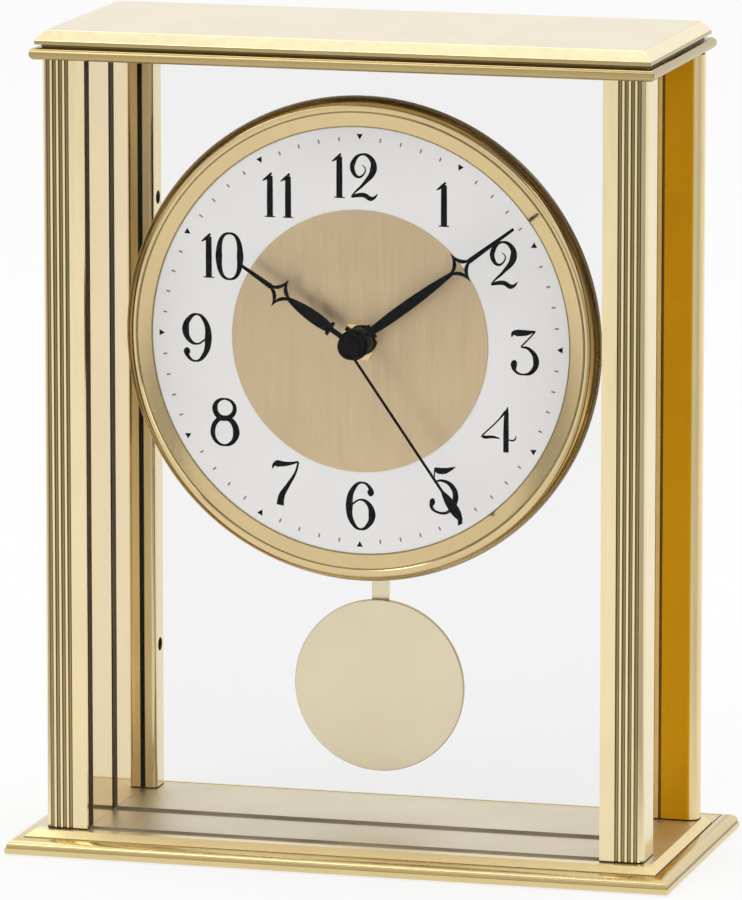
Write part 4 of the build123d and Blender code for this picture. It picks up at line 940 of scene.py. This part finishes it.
class CLOCK_OT_dial(PieceOperator):
    """Bezel, dial plate and satin centre"""
    bl_idname = "clock.dial"
    bl_label = "Dial and bezel"

    # Radii from the dial's middle
    bezel_least = 66.4 * MM
    ridge = 63.7 * MM
    show = 58.4 * MM
    bezel_bore = 60.1 * MM
    plate_radius = 60.0 * MM
    plate_hole = 4.2 * MM

    # The bezel's front, from the dial out
    lip_width = 0.4 * MM
    bead_width = 0.9 * MM
    groove_width = 0.4 * MM
    groove_depth = 0.55 * MM
    shoulder_back = 3.6 * MM
    round_steps = 10
    back_chamfer = 2.2 * MM
    glass_gap = 0.03 * MM

    def radius_of(self, face):
        return math.hypot(face.center.x, face.center.z - AXIS_Z)

    def bezel(self, looks):
        face_y = DIAL_LOW.y
        back_y = CARRIER_LOW.y - self.glass_gap
        ridge_y = BEZEL_LOW.y
        outer = max((BEZEL_HIGH.x - BEZEL_LOW.x) / 2, self.bezel_least)
        ridge = self.ridge
        show = self.show
        bore = self.bezel_bore
        lip = show + self.lip_width
        bead = ridge - self.bead_width
        groove = bead - self.groove_width
        points = [
            (bore, back_y), (bore, face_y), (show, face_y), (show, face_y - 0.2 * MM),
            (lip, face_y - 0.32 * MM), (groove - 0.02 * MM, ridge_y + 0.30 * MM),
            (groove, ridge_y + self.groove_depth), (bead, ridge_y + self.groove_depth),
            (bead + 0.02 * MM, ridge_y + 0.20 * MM), (bead + 0.25 * MM, ridge_y + 0.03 * MM),
            (ridge - 0.25 * MM, ridge_y), (ridge, ridge_y + 0.02 * MM),
        ]
        shoulder = face_y + self.shoulder_back
        for step in range(1, self.round_steps + 1):
            turn = math.radians(90) * step / self.round_steps
            radius = ridge + (outer - ridge) * math.sin(turn)
            points.append((radius, shoulder - (shoulder - ridge_y) * math.cos(turn)))
        wall_y = shoulder + 0.1 * (back_y - shoulder)
        points += [(outer, wall_y), (outer - self.back_chamfer, back_y), (bore, back_y)]
        bezel = turned("bezel_finished", points, AXIS_Z, 192)
        smooth(bezel, 25)
        finish(bezel, "case", "polished_brass", looks["gilt"], "bezel")
        # Painted reflection: the outer round in shaded brass and its outermost part in dark shade; painted
        # shade on the inner lip and in the bead's groove
        shaded = ridge + 0.60 * (outer - ridge)
        dark = ridge + 0.80 * (outer - ridge)
        paint(bezel, looks["nose"], lambda face: self.radius_of(face) > shaded)
        paint(bezel, looks["shade"], lambda face: face.center.y < wall_y and self.radius_of(face) > dark)
        bands = ((0, lip), (groove, bead))
        paint(bezel, looks["flute"], lambda face: any(a <= self.radius_of(face) <= b for a, b in bands))

    def execute(self, context):
        looks = finishes()
        self.bezel(looks)
        face_y = DIAL_LOW.y
        back_y = DIAL_HIGH.y
        hole = self.plate_hole
        edge = self.plate_radius
        points = [(hole, face_y), (edge, face_y), (edge, back_y), (hole, back_y), (hole, face_y)]
        plate = turned("dial_plate_finished", points, AXIS_Z, 160)
        smooth(plate, 30)
        finish(plate, "case", "dial_white", looks["dial"], "dial_plate")
        edge = (DISC_HIGH.x - DISC_LOW.x) / 2
        top = DISC_LOW.y
        points = [(hole, top), (edge - 0.25 * MM, top), (edge - 0.05 * MM, top + 0.08 * MM)]
        points += [(edge, top + 0.2 * MM), (edge, face_y), (hole, face_y), (hole, top)]
        centre = turned("dial_centre_finished", points, AXIS_Z, 160)
        smooth(centre, 30)
        finish(centre, "case", "dial_gold", looks["disc"], "dial_centre")
        return {"FINISHED"}


# Numeral strokes: points of a centre line with a half width, in a box one unit high
STROKES = {
    "0": [
        (True, [(0.325, 1.012, 0.022), (0.078, 0.495, 0.076), (0.325, -0.023, 0.022),
                (0.572, 0.495, 0.076)]),
    ],
    "1": [
        (False, [(0.0, 0.02, 0.064), (0.0, 0.50, 0.064), (0.0, 0.92, 0.060)]),
        (False, [(-0.125, 0.006, 0.010), (0.0, 0.010, 0.020), (0.125, 0.006, 0.010)]),
        (False, [(-0.170, 0.805, 0.012), (-0.055, 0.885, 0.036), (0.040, 0.985, 0.022)]),
    ],
    "2": [
        (False, [(0.27, 0.75, 0.008), (0.345, 0.68, 0.014), (0.31, 0.545, 0.018), (0.195, 0.477, 0.028),
                 (0.075, 0.585, 0.048), (0.07, 0.79, 0.054), (0.276, 0.986, 0.022), (0.49, 0.885, 0.052),
                 (0.534, 0.655, 0.076), (0.31, 0.325, 0.034), (0.10, 0.12, 0.019), (0.03, 0.03, 0.018)]),
        (False, [(0.03, 0.026, 0.022), (0.172, 0.069, 0.044), (0.322, 0.076, 0.050), (0.47, 0.005, 0.052),
                 (0.54, 0.02, 0.034), (0.632, 0.109, 0.010)]),
    ],
    "3": [
        (False, [(0.03, 0.84, 0.010), (0.07, 0.925, 0.044), (0.16, 0.935, 0.074), (0.36, 0.945, 0.062),
                 (0.575, 0.99, 0.012)]),
        (False, [(0.565, 0.975, 0.018), (0.41, 0.80, 0.017), (0.25, 0.635, 0.018)]),
        (False, [(0.245, 0.625, 0.016), (0.42, 0.59, 0.034), (0.59, 0.33, 0.068), (0.50, 0.085, 0.048),
                 (0.31, 0.012, 0.018), (0.12, 0.08, 0.030), (0.085, 0.22, 0.072), (0.098, 0.29, 0.060),
                 (0.105, 0.335, 0.012)]),
    ],
    "4": [
        (False, [(0.575, 0.0, 0.057), (0.575, 0.50, 0.057), (0.585, 0.85, 0.048), (0.61, 1.02, 0.012)]),
        (False, [(0.57, 0.93, 0.030), (0.40, 0.72, 0.016), (0.03, 0.36, 0.017)]),
        (False, [(0.0, 0.345, 0.012), (0.08, 0.325, 0.036), (0.26, 0.335, 0.030), (0.43, 0.31, 0.014)]),
        (False, [(0.60, 0.292, 0.014), (0.76, 0.285, 0.020), (0.81, 0.385, 0.008)]),
    ],
    "5": [
        (False, [(0.14, 1.01, 0.014), (0.20, 0.955, 0.068), (0.36, 0.945, 0.068), (0.48, 0.985, 0.042),
                 (0.61, 1.045, 0.008)]),
        (False, [(0.14, 1.0, 0.016), (0.125, 0.85, 0.015), (0.12, 0.69, 0.016)]),
        (False, [(0.12, 0.69, 0.016), (0.32, 0.72, 0.030), (0.54, 0.59, 0.054), (0.61, 0.33, 0.064),
                 (0.46, 0.035, 0.034), (0.22, 0.0, 0.026), (0.06, 0.12, 0.034), (0.078, 0.22, 0.062),
                 (0.088, 0.28, 0.052), (0.094, 0.32, 0.010)]),
    ],
    "6": [
        (False, [(0.572, 0.735, 0.012), (0.576, 0.77, 0.058), (0.58, 0.83, 0.076), (0.565, 0.92, 0.040),
                 (0.38, 1.040, 0.020), (0.19, 0.91, 0.050), (0.085, 0.52, 0.080), (0.17, 0.11, 0.048),
                 (0.345, -0.018, 0.022), (0.53, 0.09, 0.052), (0.61, 0.33, 0.080), (0.50, 0.59, 0.044),
                 (0.34, 0.650, 0.020), (0.15, 0.54, 0.020)]),
    ],
    "7": [
        (False, [(0.015, 0.85, 0.012), (0.05, 0.94, 0.036), (0.12, 0.965, 0.074), (0.28, 0.965, 0.054),
                 (0.45, 0.985, 0.034), (0.61, 1.03, 0.018)]),
        (False, [(0.615, 1.02, 0.022), (0.55, 0.79, 0.026), (0.36, 0.47, 0.046), (0.225, 0.24, 0.070),
                 (0.19, 0.03, 0.082)]),
    ],
    "8": [
        (True, [(0.335, 1.035, 0.020), (0.115, 0.84, 0.060), (0.32, 0.595, 0.060), (0.575, 0.83, 0.046)]),
        (True, [(0.33, 0.61, 0.050), (0.065, 0.26, 0.054), (0.335, -0.015, 0.022), (0.61, 0.27, 0.076)]),
    ],
}
# The nine is the six turned upside down within its width
SIX_WIDTH = 0.69
STROKES["9"] = [(closed, [(SIX_WIDTH - x, 1 - y, r) for x, y, r in line]) for closed, line in STROKES["6"]]

# Each figure with the place of its foot from the dial's middle, in millimetres
FIGURES = (
    ("1", 23.5, 32.3), ("2", 36.3, 16.7), ("3", 42.0, -7.2), ("4", 33.9, -28.6), ("5", 19.4, -46.0),
    ("6", -4.0, -51.5), ("7", -24.8, -46.5), ("8", -42.3, -30.2), ("9", -50.1, -7.0),
    ("1", -42.5, 15.7), ("0", -40.6, 15.7), ("1", -25.2, 33.0), ("1", -20.1, 33.0),
    ("1", -5.7, 39.0), ("2", -2.7, 39.0),
)


class CLOCK_OT_dial_print(PieceOperator):
    """Numerals, minute marks and hour marks"""
    bl_idname = "clock.dial_print"
    bl_label = "Dial print"

    stroke_weight = 1.1
    # The half width of a stroke, as a share of the height, that gets the print's full thickness
    full_stroke = 0.06

    # Half sizes of a minute mark, and the corners of an hour mark
    tick_width = 0.225 * MM
    tick_length = 0.55 * MM
    arrow = ((0, -0.8 * MM), (0.85 * MM, 0.75 * MM), (-0.85 * MM, 0.75 * MM))

    def digit(self, figure, x0, z0, height, y):
        parts = []
        for closed, line in STROKES[figure]:
            clear_selection()
            curve = bpy.data.curves.new("stroke", "CURVE")
            curve.dimensions = "3D"
            curve.resolution_u = 10
            curve.bevel_depth = 1.0
            curve.bevel_resolution = 3
            curve.use_fill_caps = True
            spline = curve.splines.new("BEZIER")
            spline.bezier_points.add(len(line) - 1)
            for point, (x, z, r) in zip(spline.bezier_points, line):
                point.co = (x0 + x * height, 0, z0 + z * height)
                point.radius = r * height * self.stroke_weight
                point.handle_left_type = "AUTO"
                point.handle_right_type = "AUTO"
            spline.use_cyclic_u = closed
            obj = bpy.data.objects.new("stroke", curve)
            bpy.context.scene.collection.objects.link(obj)
            make_active(obj)
            bpy.ops.object.convert(target="MESH")
            obj = bpy.context.object
            obj.scale.y = bpy.context.scene.clock_sizes.print_lift / (self.full_stroke * height)
            obj.location.y = y
            apply_place(obj)
            parts.append(obj)
        return parts

    def marks(self, name, count, skip, ring, outline, y):
        """Flat marks round the dial, each modelled once and turned into place"""
        lift = bpy.context.scene.clock_sizes.print_lift
        parts = []
        for step in range(count):
            if skip and step % skip == 0:
                continue
            clear_selection()
            bpy.ops.mesh.primitive_circle_add(
                vertices=len(outline), radius=MM, fill_type="NGON", location=(0, 0, 0),
                rotation=(math.pi / 2, 0, 0))
            obj = bpy.context.object
            apply_place(obj)
            for vertex, (x, z) in zip(obj.data.vertices, outline):
                vertex.co = (x, y, ring + z)
            enter_edit(obj)
            bpy.ops.mesh.select_all(action="SELECT")
            pull(0, -lift, 0)
            leave_edit()
            outward(obj)
            obj.rotation_euler = (0, 2 * math.pi * step / count, 0)
            obj.location = (0, 0, AXIS_Z)
            apply_place(obj)
            parts.append(obj)
        return join(parts, name)

    def execute(self, context):
        sizes = context.scene.clock_sizes
        looks = finishes()
        y = DIAL_LOW.y
        parts = []
        for figure, x, z in FIGURES:
            parts += self.digit(figure, x * MM, AXIS_Z + z * MM, sizes.numeral, y)
        numerals = join(parts, "dial_numerals")
        outward(numerals)
        finish(numerals, "case", "hand_black", looks["ink"])
        wide = self.tick_width
        tall = self.tick_length
        outline = ((-wide, -tall), (wide, -tall), (wide, tall), (-wide, tall))
        ticks = self.marks("dial_minute_marks", 60, 5, sizes.tick_ring, outline, y)
        finish(ticks, "case", "hand_black", looks["tick"])
        hours = self.marks("dial_hour_marks", 12, 0, sizes.mark_ring, self.arrow, y)
        finish(hours, "case", "hand_black", looks["ink"])
        return {"FINISHED"}


class CLOCK_OT_hands(PieceOperator):
    """Hour, minute and second hands"""
    bl_idname = "clock.hands"
    bl_label = "Hands"

    def execute(self, context):
        looks = finishes()
        for hand, body in (("hour_hand", "hour"), ("minute_hand", "minute"), ("second_hand", "second")):
            refined(hand, body, "hand_black", looks["hand"], 0.10 * MM, 40)
        return {"FINISHED"}


class CLOCK_OT_pendulum(PieceOperator):
    """Bob, rod and the rest of the pendulum"""
    bl_idname = "clock.pendulum"
    bl_label = "Pendulum"

    rim_round = 0.35 * MM

    def execute(self, context):
        looks = finishes()
        radius = (BOB_HIGH.x - BOB_LOW.x) / 2
        front = BOB_LOW.y
        back = BOB_HIGH.y
        soft = self.rim_round
        points = [(0, front), (radius - soft, front), (radius - 0.3 * soft, front + 0.3 * soft)]
        points += [(radius, front + soft), (radius, back - soft), (radius - soft, back), (0, back)]
        bob = turned("pendulum_bob_finished", points, BOB_Z, 160)
        smooth(bob, 30)
        finish(bob, "pendulum", "satin_brass", looks["satin"], "pendulum_bob")
        # Painted shade on the rim
        paint(bob, looks["nose"], lambda face: abs(face.normal.y) < TOWARDS)
        refined("pendulum_rod", "pendulum", "satin_brass", looks["satin"], 0.12 * MM)
        refined("bob_clip", "pendulum", "steel", looks["steel"], 0.15 * MM)
        refined("pendulum_arm", "pendulum", "arm_plastic", looks["case"], 0.2 * MM)
        dress(looks["magnet"], "pendulum_magnet")
        dress(looks["steel"], "pendulum_pin")
        return {"FINISHED"}


class CLOCK_OT_movement(PieceOperator):
    """Movement case, cover, buttons and what is inside"""
    bl_idname = "clock.movement"
    bl_label = "Movement"

    # Where the cell's plain band starts from its plus end, and how high its bare foot is
    band_length = 15 * MM
    foot_length = 1.6 * MM

    def execute(self, context):
        looks = finishes()
        moulded = (("movement_case", "case"), ("movement_cover", "case"), ("set_button", "set_button"),
                   ("receive_button", "receive_button"))
        for node, body in moulded:
            refined(node, body, "case_black", looks["case"], 0.2 * MM, 50)
        dress(looks["wheel"], "hour_wheel", "minute_wheel", "seconds_wheel", "third_wheel", "motion_wheel",
              "intermediate_wheel", "rotor", "train_plate", "train_bridge")
        back = corners("cover_screws")[1].y
        spots = [(x, back, z) for x, z in head_spots("cover_screws", COVER_SCREW_HEAD, 2)]
        screws = from_node("cover_screws", 0.12 * MM, 50)
        cross_slots(screws, spots, ((1.3 * MM, 0.5 * MM, 0.25 * MM), (0.25 * MM, 0.5 * MM, 1.3 * MM)))
        finish(screws, "case", "steel", looks["steel"], "cover_screws")
        dress(looks["steel"], "train_screws", "stator", "motor_core")
        dress(looks["copper"], "motor_coil", "drive_coil", "antenna_coil")
        dress(looks["case"], "switches")
        dress(looks["board"], "circuit_board")
        dress(looks["magnet"], "antenna_rod")
        dress(looks["nickel"], "battery_contact_plus", "battery_contact_minus")
        cell = from_node("battery", 0.35 * MM, 50)
        band = CELL_HIGH.x - self.band_length
        foot = CELL_LOW.x + self.foot_length
        slice_at(cell, band, (1, 0, 0))
        slice_at(cell, foot, (1, 0, 0))
        smooth(cell, 30)
        finish(cell, "case", "cell_wrap", looks["sleeve"], "battery")
        paint(cell, looks["cellband"], lambda face: face.center.x > band)
        paint(cell, looks["nickel"], lambda face: abs(face.normal.x) > 0.7 or face.center.x < foot)
        return {"FINISHED"}


class CLOCK_OT_small_parts(PieceOperator):
    """Panels, strips, feet, screws, nuts and the dial pan"""
    bl_idname = "clock.small_parts"
    bl_label = "Panels and small parts"

    def execute(self, context):
        looks = finishes()
        for node, way in (("side_panel_right", 1), ("side_panel_left", -1)):
            panel = refined(node, "case", "polished_brass", looks["mirror"], 0.15 * MM, 50)
            paint(panel, looks["panel"], lambda face: face.normal.x * way > 0.5)
        dress(looks["strip"], "pane_strip_right", "pane_strip_left")
        dress(looks["felt"], "felt_feet")
        under = corners("slab_screws")[0].z
        spots = [(x, y, under) for x, y in head_spots("slab_screws", SLAB_SCREW_HEAD, 1)]
        screws = from_node("slab_screws", 0.15 * MM, 50)
        cross_slots(screws, spots, ((1.6 * MM, 0.3 * MM, 0.6 * MM), (0.3 * MM, 1.6 * MM, 0.6 * MM)))
        finish(screws, "case", "steel", looks["steel"], "slab_screws")
        dress(looks["steel"], "tie_rods", "tie_nuts_base", "tie_nuts_top")
        dress(looks["backing"], "dial_pan")
        dress(looks["gilt"], "dial_nut")
        return {"FINISHED"}


class CLOCK_OT_stage(PieceOperator):
    """Floor, light and camera"""
    bl_idname = "clock.stage"
    bl_label = "Stage"

    # Softboxes: name, place, what they point at, width and height, power
    softboxes = (
        ("key_softbox", (-0.9, -1.3, 1.5), (0, 0, 0.12), (1.0, 1.0), 8),
        ("fill_softbox", (1.5, -1.2, 0.9), (0, 0, 0.12), (0.9, 1.2), 4),
        ("top_softbox", (0, 0.3, 1.6), (0, 0, 0.1), (1.2, 0.8), 5),
    )

    # What metal sees of the floor: a white sheet that fades to both sides, and white behind the clock
    sheet_fade = (0.12, 0.26, 1.0, 0.35)
    behind_fade = (-0.05, 0.05, 0.0, 1.0)
    floor_white = 0.78

    # Levels of the world by height, depth and side of the way a ray goes, and for diffuse rays
    low_band = (0.28, 0.42, 0.95, 0.22)
    high_band = (0.62, 0.82, 0.22, 0.95)
    behind_band = (-0.05, 0.30, 0.0, 0.95)
    side_band = (0.45, 0.90, 1.0, 0.35)
    diffuse_level = 0.85

    # What the camera looks at
    target = (8.4 * MM, -34 * MM, 115.83 * MM)

    def lamp(self, name, place, aim, size, power):
        clear_selection()
        bpy.ops.object.light_add(type="AREA", location=place)
        obj = bpy.context.object
        obj.name = name
        obj.data.shape = "RECTANGLE"
        obj.data.size = size[0]
        obj.data.size_y = size[1]
        obj.data.energy = power
        way = Vector(aim) - Vector(place)
        obj.rotation_euler = way.to_track_quat("-Z", "Y").to_euler()

    def floor(self):
        clear_selection()
        bpy.ops.mesh.primitive_plane_add(size=12, location=(0, 0, CAD_BOX[0][2]))
        obj = bpy.context.object
        obj.name = "floor"
        apply_place(obj)
        material, tree, shader = new_material("pale_floor")
        shader.inputs["Base Color"].default_value = (0.85, 0.85, 0.85, 1)
        shader.inputs["Roughness"].default_value = 0.9
        shader.inputs["Specular IOR Level"].default_value = 0.0
        path = add_node(tree, "ShaderNodeLightPath")
        place = add_node(tree, "ShaderNodeTexCoord")
        across = add_node(tree, "ShaderNodeVectorMath", operation="DOT_PRODUCT")
        across.inputs[1].default_value = (1, -math.tan(bpy.context.scene.clock_studio.azimuth), 0)
        tree.links.new(place.outputs["Object"], across.inputs[0])
        aside = reckon(tree, "ABSOLUTE", across.outputs["Value"])
        sheet = fade(tree, aside, *self.sheet_fade)
        split = add_node(tree, "ShaderNodeSeparateXYZ")
        tree.links.new(place.outputs["Object"], split.inputs["Vector"])
        behind = fade(tree, split.outputs["Y"], *self.behind_fade)
        direct = reckon(tree, "MAXIMUM", path.outputs["Is Camera Ray"], path.outputs["Is Transmission Ray"])
        level = reckon(tree, "MAXIMUM", direct, reckon(tree, "MAXIMUM", sheet, behind))
        white = add_node(tree, "ShaderNodeEmission")
        tree.links.new(level, white.inputs["Strength"])
        seen = reckon(tree, "MAXIMUM", direct, path.outputs["Is Glossy Ray"])
        mix = add_node(tree, "ShaderNodeMixShader")
        tree.links.new(reckon(tree, "MULTIPLY", seen, self.floor_white), mix.inputs["Fac"])
        tree.links.new(shader.outputs["BSDF"], mix.inputs[1])
        tree.links.new(white.outputs["Emission"], mix.inputs[2])
        tree.links.new(mix.outputs["Shader"], tree.nodes["Material Output"].inputs["Surface"])
        obj.data.materials.append(material)

    def world(self):
        """White behind and low in front, darker at the sides and high in front"""
        world = bpy.data.worlds.new("studio")
        bpy.context.scene.world = world
        world.use_nodes = True
        tree = world.node_tree
        back = tree.nodes["Background"]
        path = add_node(tree, "ShaderNodeLightPath")
        ways = add_node(tree, "ShaderNodeTexCoord")
        split = add_node(tree, "ShaderNodeSeparateXYZ")
        tree.links.new(ways.outputs["Generated"], split.inputs["Vector"])
        low = fade(tree, split.outputs["Z"], *self.low_band)
        high = fade(tree, split.outputs["Z"], *self.high_band)
        behind = fade(tree, split.outputs["Y"], *self.behind_band)
        level = reckon(tree, "MAXIMUM", reckon(tree, "MAXIMUM", low, high), behind)
        side = fade(tree, reckon(tree, "ABSOLUTE", split.outputs["X"]), *self.side_band)
        shade = reckon(tree, "MULTIPLY", level, side)
        direct = reckon(tree, "MAXIMUM", path.outputs["Is Camera Ray"], path.outputs["Is Transmission Ray"])
        even = reckon(tree, "MULTIPLY", path.outputs["Is Diffuse Ray"], self.diffuse_level)
        level = reckon(tree, "MAXIMUM", shade, even)
        tree.links.new(reckon(tree, "MAXIMUM", level, direct), back.inputs["Strength"])
        back.inputs["Color"].default_value = (1, 1, 1, 1)

    def camera(self):
        studio = bpy.context.scene.clock_studio
        clear_selection()
        turn = studio.azimuth
        rise = studio.elevation
        back = Vector((math.sin(turn) * math.cos(rise), -math.cos(turn) * math.cos(rise), math.sin(rise)))
        bpy.ops.object.camera_add(location=Vector(self.target) + back * studio.distance)
        camera = bpy.context.object
        camera.rotation_euler = (-back).to_track_quat("-Z", "Y").to_euler()
        camera.data.sensor_width = 36
        camera.data.lens = studio.lens
        camera.data.clip_end = 50
        bpy.context.scene.camera = camera

    def execute(self, context):
        context.scene.view_settings.view_transform = "Standard"
        self.floor()
        self.world()
        for softbox in self.softboxes:
            self.lamp(*softbox)
        self.camera()
        return {"FINISHED"}


class CLOCK_PT_panel(bpy.types.Panel):
    """Lists the clock's operators and finishes"""
    bl_label = "Clock"
    bl_idname = "CLOCK_PT_panel"
    bl_space_type = "VIEW_3D"
    bl_region_type = "UI"
    bl_category = "Clock"

    def draw(self, context):
        for operator in OPERATORS:
            self.layout.operator(operator.bl_idname)
        for group in (context.scene.clock_sizes, context.scene.clock_finish, context.scene.clock_studio):
            for name in group.bl_rna.properties.keys():
                if name not in ("rna_type", "name"):
                    self.layout.prop(group, name)


OPERATORS = (
    CLOCK_OT_base_plate, CLOCK_OT_top, CLOCK_OT_posts, CLOCK_OT_panes, CLOCK_OT_dial, CLOCK_OT_dial_print,
    CLOCK_OT_hands, CLOCK_OT_pendulum, CLOCK_OT_movement, CLOCK_OT_small_parts, CLOCK_OT_stage,
)
CLASSES = (ClockSizes, ClockFinish, ClockStudio) + OPERATORS + (CLOCK_PT_panel,)


def register():
    for item in CLASSES:
        bpy.utils.register_class(item)
    bpy.types.Scene.clock_sizes = PointerProperty(type=ClockSizes)
    bpy.types.Scene.clock_finish = PointerProperty(type=ClockFinish)
    bpy.types.Scene.clock_studio = PointerProperty(type=ClockStudio)


def unregister():
    del bpy.types.Scene.clock_studio
    del bpy.types.Scene.clock_finish
    del bpy.types.Scene.clock_sizes
    for item in reversed(CLASSES):
        bpy.utils.unregister_class(item)


def main():
    register()
    for operator in OPERATORS:
        group, name = operator.bl_idname.split(".")
        getattr(getattr(bpy.ops, group), name)()


if __name__ == "__main__":
    main()
